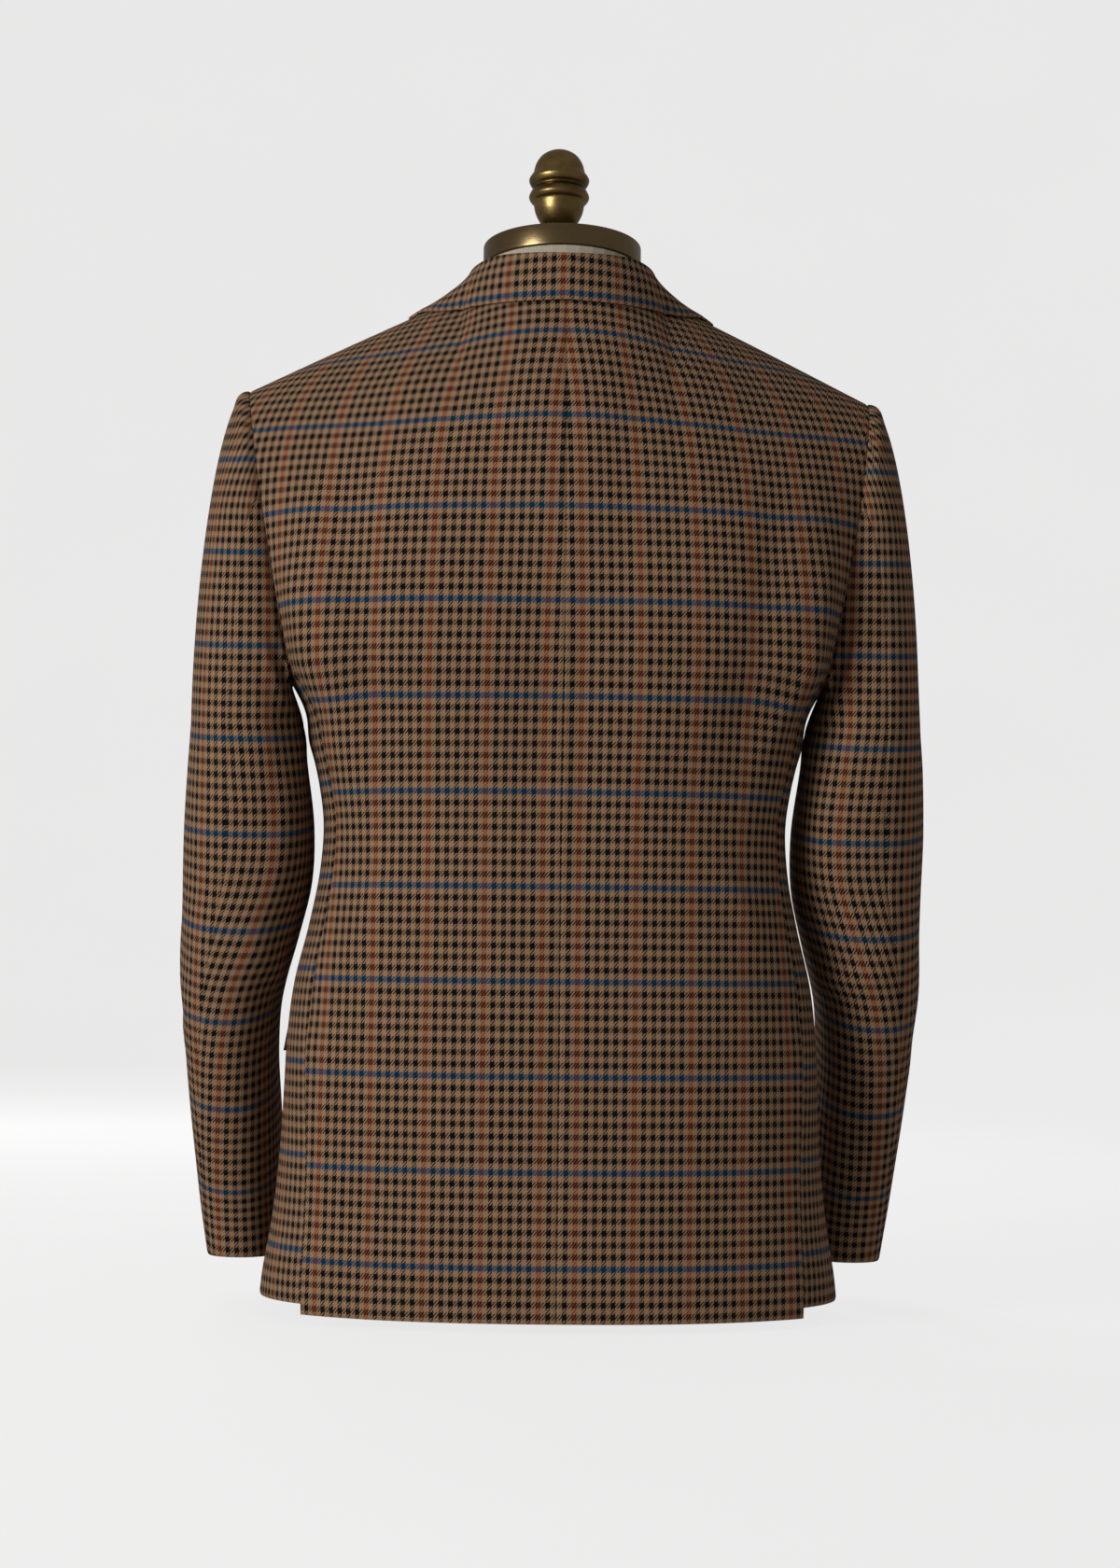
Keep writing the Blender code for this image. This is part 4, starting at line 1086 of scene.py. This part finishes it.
# A button's thread holes, and the sewing thread: its radius, its length as a share of how far the
# holes are apart, and its two stitches as how they are turned and how many radii they lie up; then
# the turns at which the holes are
BUTTON_HOLE = 0.0011
BUTTON_HOLE_FOOT = 0.92
BUTTON_HOLE_DEEP = 0.0003
BUTTON_SPREAD = 0.0021
THREAD = 0.00042
THREAD_LENGTH = 2.6
THREAD_ENDS = 0.2
STITCHES = ((45, 0.9), (135, 1.6))
HOLE_TURNS = (45, 135, 225, 315)

# The cap's rounded edge, with its steps, the sides of what is turned, how many points the finial's
# curve has between two of its table, and how near points are welded
CAP_ROUND = 0.0011
CAP_STEPS = 4
CAP_SIDES = 128
BUTTON_SIDES = 64
THREAD_SIDES = 10
HOLE_SIDES = 20
ROUND_SIDES = 96
FINIAL_SMOOTH = 5
WELD = 1e-6


def lathe(profile, sides=ROUND_SIDES):
    """A turned solid from a profile of radius and height, from its top down."""
    bm = bmesh.new()
    verts = [bm.verts.new((radius, 0, height)) for radius, height in profile]
    edges = [bm.edges.new(pair) for pair in zip(verts, verts[1:])]
    bmesh.ops.spin(
        bm,
        geom=verts + edges,
        axis=(0, 0, 1),
        cent=(0, 0, 0),
        angle=2 * math.pi,
        steps=sides,
        use_merge=True,
    )
    bmesh.ops.remove_doubles(bm, verts=bm.verts[:], dist=WELD)
    bmesh.ops.recalc_face_normals(bm, faces=bm.faces[:])
    return bm


def lean_with_neck(bm):
    lean = Matrix.Rotation(math.radians(NECK_TILT), 4, "X")
    about = Matrix.Translation((0, 0, CAP_FOOT))
    bmesh.ops.transform(bm, matrix=about @ lean @ about.inverted(), verts=bm.verts[:])


def rounded(profile, count):
    """A profile with points added along a smooth curve through it."""
    at = np.arange(len(profile))
    rows = [(k, *row) for k, row in enumerate(profile)]
    fine = np.linspace(0, at[-1], at[-1] * count + 1)
    radius, height = (read(fine) for read in curves(rows, ("at", *FINIAL_COLUMNS)))
    return list(zip(np.maximum(radius, 0.0), height))


def make_neck_cap():
    top = CAP_FOOT + CAP_THICK
    profile = [(0.0, top)]
    for low, centre in ((False, top - CAP_ROUND), (True, CAP_FOOT + CAP_ROUND)):
        for step in range(CAP_STEPS + 1):
            turn = math.radians(90 * step / CAP_STEPS + (90 if low else 0))
            radius = NECK_RADIUS - CAP_ROUND + CAP_ROUND * math.sin(turn)
            profile.append((radius, centre + CAP_ROUND * math.cos(turn)))
    profile.append((0.0, CAP_FOOT))
    bm = lathe(profile, CAP_SIDES)
    lean_with_neck(bm)
    piece = finished("brass_neck_cap", bm, brushed_brass)
    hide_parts("neck_cap")


def make_finial():
    bm = lathe(rounded(FINIAL[:-1], FINIAL_SMOOTH) + [FINIAL[-1]], ROUND_SIDES)
    lean_with_neck(bm)
    aside = Matrix.Translation((FINIAL_ASIDE, 0, 0))
    bmesh.ops.transform(bm, matrix=aside, verts=bm.verts[:])
    piece = finished("turned_finial", bm, aged_brass)
    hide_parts("finial")


def turned(degrees, axis):
    return Matrix.Rotation(math.radians(degrees), 4, axis)


def rod(bm, sides, low, high, length, place):
    """A short round rod with its radius at either end."""
    sizes = {"segments": sides, "radius1": low, "radius2": high, "depth": length}
    return bmesh.ops.create_cone(bm, cap_ends=True, matrix=place, **sizes)["verts"]


def make_button(name, height):
    """A four-hole horn button with its crossed sewing thread, lying on the left front; its holes
    are near-black discs of painted shade.
    """
    half = BUTTON_THICK / 2
    profile = [(BUTTON_RADIUS - inwards, half - below) for inwards, below in BUTTON_PROFILE]
    horn_disc = lathe(profile, BUTTON_SIDES)
    front = section_point(np.array(math.pi), np.array(height))
    place = Matrix.Translation((0.0, front[1] - half - BUTTON_STANDOFF, height))
    dish = half - BUTTON_DISH
    thread = bmesh.new()
    for turn, rise in STITCHES:
        lie = Matrix.Translation((0, 0, dish + THREAD * rise)) @ turned(turn, "Z")
        length = BUTTON_SPREAD * THREAD_LENGTH
        bar = rod(thread, THREAD_SIDES, THREAD, THREAD, length, lie @ turned(90, "X"))
        bmesh.ops.smooth_vert(thread, verts=bar, factor=THREAD_ENDS, use_axis_z=True)
    # Painted shade: near-black discs in the dish stand for the shade inside the thread holes
    hole_shade_discs = bmesh.new()
    for turn in HOLE_TURNS:
        across = BUTTON_SPREAD * math.cos(math.radians(turn))
        up = BUTTON_SPREAD * math.sin(math.radians(turn))
        narrow = BUTTON_HOLE * BUTTON_HOLE_FOOT
        lie = Matrix.Translation((across, up, dish))
        rod(hole_shade_discs, HOLE_SIDES, BUTTON_HOLE, narrow, BUTTON_HOLE_DEEP, lie)
    parts = (("_horn", horn_disc, horn), ("_thread", thread, sewing_thread))
    for ending, bm, finish in (*parts, ("_painted_hole_shade", hole_shade_discs, hole_shade)):
        bmesh.ops.transform(bm, matrix=place @ turned(90, "X"), verts=bm.verts[:])
        piece = finished(name + ending, bm, finish)
        if ending == "_horn":
            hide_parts(name)


# ---- Finishes ----

# Yarn colours, how much more than half of a blue line shows, and the check's bars, each of which
# has as much tan after it
TAN = (0.325, 0.198, 0.117)
DARK = (0.0036, 0.0044, 0.0058)
BROWN = (0.0120, 0.0085, 0.0058)
RUST = (0.205, 0.046, 0.0150)
BLUE = (0.0012, 0.043, 0.098)
BLUE_SHOWS = 0.35
WARP_BARS = (RUST, DARK, BROWN, DARK, BROWN, DARK)
WEFT_BARS = (BLUE, DARK, BROWN, DARK, BROWN, DARK, BROWN, DARK)

# The check's repeat across and up, with the place of the first blue line; where the bars start; the
# threads, so many to a bar and its tan; and a twill over two threads and under two
WARP_REPEAT = 0.0426
WEFT_REPEAT = 0.0696
BLUE_AT = 0.0476
WARP_START = 0.25 / len(WARP_BARS)
WEFT_START = 0.25 / len(WEFT_BARS)
BAR_THREADS = 12
WARP_PITCH = WARP_REPEAT / (BAR_THREADS * len(WARP_BARS))
WEFT_PITCH = WEFT_REPEAT / (BAR_THREADS * len(WEFT_BARS))
TWILL = 4.0
TWILL_UNDER = 1.5

# Noises, as scale, detail and roughness, with how those of threads and streaks are stretched
HEATHER = (1400.0, 3.0, 0.65)
DRIFT = (9.0, 3.0, 0.5)
THREADS = (1.0, 3.0, 0.6)
LINEN_WARP = (900.0, 900.0, 60.0)
LINEN_WEFT = (60.0, 60.0, 900.0)
LINEN_DRIFT = (6.0, 2.0, 0.5)
BRUSHED = (8.0, 8.0, 2600.0)
CAP_CLOUD = (38.0, 3.0, 0.6)
FINIAL_CLOUD = (70.0, 4.0, 0.62)
FINIAL_SPECK = (600.0, 2.0, 0.5)
GROUND_GRAIN = (3.0, 2.0, 0.5)

# Bumps, as strength and height, and how much of one noise goes into another
CLOTH_BUMP = (0.35, 0.00022)
LINEN_BUMP = (0.50, 0.0003)
CAP_BUMP = (0.10, 0.0002)
FINIAL_BUMP = (0.15, 0.0003)
FUZZ = 0.5
CLOUD_SHARE = 0.6
STREAK_SHARE = 0.4
CLOUD_BUMP = 0.7

# How each shade follows a height or a noise: its factor, and its value at none
THREAD_ROUND = (-0.5, 0.5)
FINIAL_TONE = (1.1, -0.1)
# Painted shade: the yarn darker where each thread rounds down between its neighbours
PAINTED_THREAD_SHADE = (0.30, 0.78)
HEATHER_SHADE = (0.50, 0.75)
DRIFT_SHADE = (0.16, 0.92)
SLUB_SHADE = (0.55, 0.62)
LINEN_DRIFT_SHADE = (0.20, 0.90)
LINEN = (0.52, 0.46, 0.36)

# Brass: dark and light, how rough as a factor and a least value, and the finial's groove, darkened
# with painted shade
CAP_BRASS = ((0.155, 0.108, 0.050), (0.290, 0.210, 0.110))
FINIAL_BRASS = ((0.110, 0.072, 0.026), (0.440, 0.300, 0.115))
CAP_ROUGH = (0.16, 0.16)
FINIAL_ROUGH = (0.25, 0.22)
GROOVE_AT = 0.8665
GROOVE_REACH = 0.006
GROOVE_SOFT = 0.2
GROOVE_PAINTED_SHADE = 0.5

# The shaders' own settings: wool, linen and the studio sweep
WOOL = {
    "Roughness": 0.93,
    "Sheen_Weight": 0.02,
    "Sheen_Roughness": 0.45,
    "Specular_IOR_Level": 0.10,
}
FLAX = {"Roughness": 0.9, "Sheen_Weight": 0.08, "Specular_IOR_Level": 0.25}
SWEEP = {"Roughness": 0.95, "Specular_IOR_Level": 0.0}

# Finishes of one grain: the name, how it is stretched, its detail and roughness, the dark and the
# light colour, the bump's strength and height, and the shader's own settings
POLISHED = {"Roughness": 0.32, "Coat_Weight": 0.25, "Coat_Roughness": 0.15}
DULL_THREAD = {"Roughness": 0.8}
DULL_HOLE = {"Roughness": 0.9}
HORN = (0.030, 0.015, 0.008), (0.170, 0.085, 0.040)
THREAD_BROWN = (0.030, 0.020, 0.014), (0.100, 0.066, 0.044)
# The near-black colours of the painted shade in the thread holes
HOLE_SHADE_COLOURS = (0.004, 0.003, 0.002), (0.012, 0.008, 0.006)
GRAINED = (
    ("brown horn", (260.0, 90.0, 700.0), 4.0, 0.6, *HORN, (0.06, 0.0002), POLISHED),
    ("sewing thread", (2500.0,) * 3, 2.0, 0.5, *THREAD_BROWN, (0.4, 0.0001), DULL_THREAD),
    ("painted button hole shade", (900.0,) * 3, 2.0, 0.5, *HOLE_SHADE_COLOURS, None, DULL_HOLE),
)

# The studio sweep's own glow, and its two greys
GROUND_GLOW = 0.785
GROUND = ((0.10, 0.10, 0.10), (0.11, 0.11, 0.11))
GROUND_LIGHT = ((0.985, 0.985, 0.985), (1.0, 1.0, 1.0))


# A colour mix's sockets: its share and its two colours, and its result
MIX_INPUTS = (0, 6, 7)
MIX_RESULT = 2


class Recipe:
    """A material's nodes, put together in a few words."""

    def __init__(self, name):
        self.material = bpy.data.materials.new(name)
        self.material.use_nodes = True
        self.tree = self.material.node_tree
        self.shader = self.tree.nodes["Principled BSDF"]
        self.place = self.node("ShaderNodeTexCoord").outputs["Object"]

    def node(self, kind, **settings):
        made = self.tree.nodes.new(kind)
        for key, value in settings.items():
            setattr(made, key, value)
        return made

    def feed(self, socket, value):
        if isinstance(value, bpy.types.NodeSocket):
            self.tree.links.new(value, socket)
        else:
            socket.default_value = value

    def made_of(self, kind, *values, **settings):
        """The first output of a new node, whose first inputs get the values."""
        made = self.node(kind, **settings)
        for socket, value in zip(made.inputs, values):
            self.feed(socket, value)
        return made.outputs[0]

    def math(self, operation, *values):
        return self.made_of("ShaderNodeMath", *values, operation=operation)

    def times(self, first, second):
        return self.math("MULTIPLY", first, second)

    def less(self, first, second):
        return self.math("SUBTRACT", first, second)

    def along(self, value, line):
        """A value on a line, which is given as its factor and its start."""
        return self.math("MULTIPLY_ADD", value, *line)

    def parts(self, vector):
        split = self.node("ShaderNodeSeparateXYZ")
        self.feed(split.inputs[0], vector)
        return split.outputs

    def blend(self, share, first, second, kind="MIX"):
        made = self.node("ShaderNodeMix", data_type="RGBA", blend_type=kind)
        for place, value in zip(MIX_INPUTS, (share, first, second)):
            if isinstance(value, tuple):
                value = (*value, 1.0)
            self.feed(made.inputs[place], value)
        return made.outputs[MIX_RESULT]

    def shaded(self, colour, shade):
        tint = self.made_of("ShaderNodeCombineColor", shade, shade, shade)
        return self.blend(1.0, colour, tint, "MULTIPLY")

    def noise(self, scale, detail, roughness, stretch=None):
        vector = self.place
        if stretch:
            mapping = self.node("ShaderNodeMapping")
            self.feed(mapping.inputs["Vector"], vector)
            mapping.inputs["Scale"].default_value = stretch
            vector = mapping.outputs[0]
        made = self.node("ShaderNodeTexNoise")
        settings = {"Vector": vector, "Scale": scale, "Detail": detail, "Roughness": roughness}
        for key, value in settings.items():
            self.feed(made.inputs[key], value)
        return made.outputs[0]

    def bars(self, share, colours):
        """Hard-edged bars of colour over 0 to 1, each followed by as much tan."""
        made = self.node("ShaderNodeValToRGB")
        ramp = made.color_ramp
        ramp.interpolation = "CONSTANT"
        steps = []
        for k, colour in enumerate(colours):
            steps.append((k / len(colours), colour))
            steps.append(((k + 0.5) / len(colours), TAN))
        while len(ramp.elements) < len(steps):
            ramp.elements.new(1.0)
        for element, (place, colour) in zip(ramp.elements, steps):
            element.position = place
            element.color = (*colour, 1.0)
        self.feed(made.inputs[0], share)
        return made.outputs[0]

    def bump(self, height, strength, distance):
        made = self.node("ShaderNodeBump")
        made.inputs["Strength"].default_value = strength
        made.inputs["Distance"].default_value = distance
        self.feed(made.inputs["Height"], height)
        self.feed(self.shader.inputs["Normal"], made.outputs[0])

    def set(self, **values):
        for key, value in values.items():
            self.feed(self.shader.inputs[key.replace("_", " ")], value)


def make_cloth_finish():
    """A wool twill with a gun-club check: coloured and tan bars both ways, threads over two, with
    painted shade between the threads.
    """
    r = Recipe("check twill wool")
    u, v = r.parts(r.made_of("ShaderNodeUVMap", uv_map="weave"))[:2]
    warp_at = r.math("DIVIDE", u, WARP_PITCH)
    weft_at = r.math("DIVIDE", v, WEFT_PITCH)
    step = r.less(r.math("FLOOR", warp_at), r.math("FLOOR", weft_at))
    weft_up = r.math("GREATER_THAN", r.math("FLOORED_MODULO", step, TWILL), TWILL_UNDER)
    across = r.math("ADD", r.math("DIVIDE", u, WARP_REPEAT), WARP_START)
    up = r.math("ADD", r.math("DIVIDE", r.less(v, BLUE_AT), WEFT_REPEAT), WEFT_START)
    warp = r.bars(r.math("FRACT", across), WARP_BARS)
    weft = r.bars(r.math("FRACT", up), WEFT_BARS)
    colour = r.blend(weft_up, warp, weft)
    blue_row = r.math("LESS_THAN", r.math("FRACT", up), 0.5 / len(WEFT_BARS))
    colour = r.blend(r.times(blue_row, BLUE_SHOWS), colour, BLUE)
    rounds = [r.math("COSINE", r.times(at, 2 * math.pi)) for at in (warp_at, weft_at)]
    warp_high, weft_high = [r.along(height, THREAD_ROUND) for height in rounds]
    height = r.math("MULTIPLY_ADD", r.less(weft_high, warp_high), weft_up, warp_high)
    heather = r.noise(*HEATHER)
    # Painted shade: the colour darkens between the threads, on top of the heather and drift tones
    shade = r.times(r.along(height, PAINTED_THREAD_SHADE), r.along(heather, HEATHER_SHADE))
    shade = r.times(shade, r.along(r.noise(*DRIFT), DRIFT_SHADE))
    r.set(Base_Color=r.shaded(colour, shade))
    r.bump(r.math("MULTIPLY_ADD", heather, FUZZ, height), *CLOTH_BUMP)
    r.set(**WOOL)
    return r.material


def make_linen():
    """Plain linen over the form: an uneven plain weave with slubs."""
    r = Recipe("form linen")
    warp = r.noise(*THREADS, stretch=LINEN_WARP)
    weft = r.noise(*THREADS, stretch=LINEN_WEFT)
    thread = r.math("MAXIMUM", warp, weft)
    drift = r.along(r.noise(*LINEN_DRIFT), LINEN_DRIFT_SHADE)
    r.set(Base_Color=r.shaded(LINEN, r.times(r.along(thread, SLUB_SHADE), drift)))
    r.bump(thread, *LINEN_BUMP)
    r.set(**FLAX)
    return r.material


def make_brushed_brass():
    """Brass brushed round the cap: fine level streaks with small uneven tarnish."""
    r = Recipe("brushed brass")
    streak = r.noise(*THREADS, stretch=BRUSHED)
    cloud = r.noise(*CAP_CLOUD)
    tone = r.math("MULTIPLY_ADD", cloud, CLOUD_SHARE, r.times(streak, STREAK_SHARE))
    r.set(Base_Color=r.blend(tone, *CAP_BRASS), Metallic=1.0)
    r.set(Roughness=r.along(streak, CAP_ROUGH))
    r.bump(streak, *CAP_BUMP)
    return r.material


def make_aged_brass():
    """Darker, aged brass: brighter where it is handled, with painted shade that turns its groove
    dark brown.
    """
    r = Recipe("aged brass")
    cloud = r.noise(*FINIAL_CLOUD)
    speck = r.noise(*FINIAL_SPECK)
    from_middle = r.math("ABSOLUTE", r.less(r.parts(r.place)[2], GROOVE_AT))
    near = r.math("SMOOTH_MIN", r.math("DIVIDE", from_middle, GROOVE_REACH), 1.0, GROOVE_SOFT)
    # Painted shade: the colour darkens towards the groove between the two rings
    groove_shade = r.times(r.less(1.0, near), GROOVE_PAINTED_SHADE)
    tone = r.less(r.along(cloud, FINIAL_TONE), groove_shade)
    r.set(Base_Color=r.blend(tone, *FINIAL_BRASS), Metallic=1.0)
    r.set(Roughness=r.along(speck, FINIAL_ROUGH))
    r.bump(r.math("MULTIPLY_ADD", cloud, CLOUD_BUMP, speck), *FINIAL_BUMP)
    return r.material


def make_grained(name, stretch, detail, roughness, dark, light, bump, settings):
    """A finish of one stretched noise between two colours, which can also make its bump."""
    r = Recipe(name)
    grain = r.noise(1.0, detail, roughness, stretch)
    r.set(Base_Color=r.blend(grain, dark, light), **settings)
    if bump:
        r.bump(grain, *bump)
    return r.material


def make_ground():
    r = Recipe("studio sweep")
    grain = r.noise(*GROUND_GRAIN)
    r.set(Base_Color=r.blend(grain, *GROUND), **SWEEP)
    r.set(Emission_Color=r.blend(grain, *GROUND_LIGHT), Emission_Strength=GROUND_GLOW)
    return r.material


# ---- Room, camera and lights ----

# The photograph's camera: its frame and focal length in pixels, its sensor in millimetres, where it
# stands and how far it rolls, and the row of its horizon and the column of the coat's axis
FRAME_SIZE = (1200, 1680)
FOCAL_PIXELS = 3400
SENSOR = 36.0
AZIMUTH = 2.6
DISTANCE = 2.44
EYE_HEIGHT = 0.292
ROLL = 0.78
HORIZON_ROW = 1000
AXIS_COLUMN = 592.6

# The studio's sweep, as a bowl round the part: its floor's and its rim's radius and its height
SWEEP_FLOOR = 2.6
SWEEP_RIM = 5.2
SWEEP_RISE = 4.4
SWEEP_STEPS = 16
SWEEP_SIDES = 96

# Lights: the name, where it is, where it points, its width, its power in watts and its colour
LIGHTS = (
    ("key", (2.05, 1.95, 0.95), (0.0, 0.0, 0.36), 1.20, 51.0, (1.0, 0.985, 0.965)),
    ("top", (0.50, 0.70, 2.40), (0.0, 0.0, 0.60), 1.40, 2.0, (1.0, 1.0, 1.0)),
    ("fill", (-1.9, 1.70, 0.90), (0.0, 0.0, 0.42), 1.60, 2.0, (1.0, 0.97, 0.94)),
    ("front", (0.9, -2.40, 1.30), (0.0, 0.0, 0.45), 1.60, 52.0, (1.0, 1.0, 1.0)),
)
ROOM_LIGHT = 0.225
ROOM_COLOUR = (1.0, 0.96, 0.92, 1.0)


def make_camera():
    """At the photograph's angle: behind the coat, level with its waist, turned a touch."""
    data = bpy.data.cameras.new("camera")
    data.sensor_width = SENSOR
    data.lens = FOCAL_PIXELS * data.sensor_width / FRAME_SIZE[1]
    data.shift_y = (HORIZON_ROW - FRAME_SIZE[1] / 2) / FRAME_SIZE[1]
    turn = math.radians(AZIMUTH)
    ahead = Vector((-math.sin(turn), -math.cos(turn), 0))
    right = Vector((-math.cos(turn), math.sin(turn), 0))
    place = Vector((0, 0, EYE_HEIGHT)) - ahead * DISTANCE
    place += right * ((FRAME_SIZE[0] / 2 - AXIS_COLUMN) * DISTANCE / FOCAL_PIXELS)
    facing = Matrix((right, Vector((0, 0, 1)), -ahead)).transposed().to_4x4()
    camera = linked("camera", data)
    camera.matrix_world = (
        Matrix.Translation(place) @ facing @ Matrix.Rotation(math.radians(ROLL), 4, "Z")
    )
    bpy.context.scene.camera = camera


def make_lights():
    for name, place, at, size, power, colour in LIGHTS:
        data = bpy.data.lights.new(name, "AREA")
        data.shape = "DISK"
        data.size = size
        data.energy = power
        data.color = colour
        light = linked(name, data)
        light.location = place
        light.visible_camera = False
        light.visible_glossy = name == "key"
        way = Vector(at) - Vector(place)
        light.rotation_euler = way.to_track_quat("-Z", "Y").to_euler()
    world = bpy.data.worlds.new("room")
    world.use_nodes = True
    shade = world.node_tree.nodes["Background"]
    shade.inputs["Color"].default_value = ROOM_COLOUR
    shade.inputs["Strength"].default_value = ROOM_LIGHT
    bpy.context.scene.world = world


def make_floor():
    """A pale studio sweep all round the part: a level floor that curves up to a wall."""
    turns = [math.radians(90 * k / SWEEP_STEPS) for k in range(SWEEP_STEPS + 1)]
    profile = [(0.0, 0.0)]
    for turn in turns:
        radius = SWEEP_FLOOR + (SWEEP_RIM - SWEEP_FLOOR) * math.sin(turn)
        profile.append((radius, SWEEP_RISE * (1 - math.cos(turn))))
    bm = lathe(profile, SWEEP_SIDES)
    bmesh.ops.reverse_faces(bm, faces=bm.faces[:])
    floor = placed("floor", bm, make_ground())
    floor.visible_diffuse = False
    floor.visible_glossy = False
    floor.visible_shadow = False


# ---- The dressed part ----

cloth_finish = make_cloth_finish()
linen = make_linen()
brushed_brass = make_brushed_brass()
aged_brass = make_aged_brass()
horn, sewing_thread, hole_shade = (make_grained(*row) for row in GRAINED)

for wearer_side in (1, -1):
    make_coat_side(wearer_side)
make_collar()
make_button("button_upper", TOP_BUTTON)
make_button("button_lower", TOP_BUTTON - BUTTON_STEP)
make_neck_cap()
make_finial()
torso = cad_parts["form_torso"]
for material_slot in torso.material_slots:
    material_slot.material = linen

make_floor()
make_camera()
make_lights()
bpy.context.scene.view_settings.view_transform = "Standard"
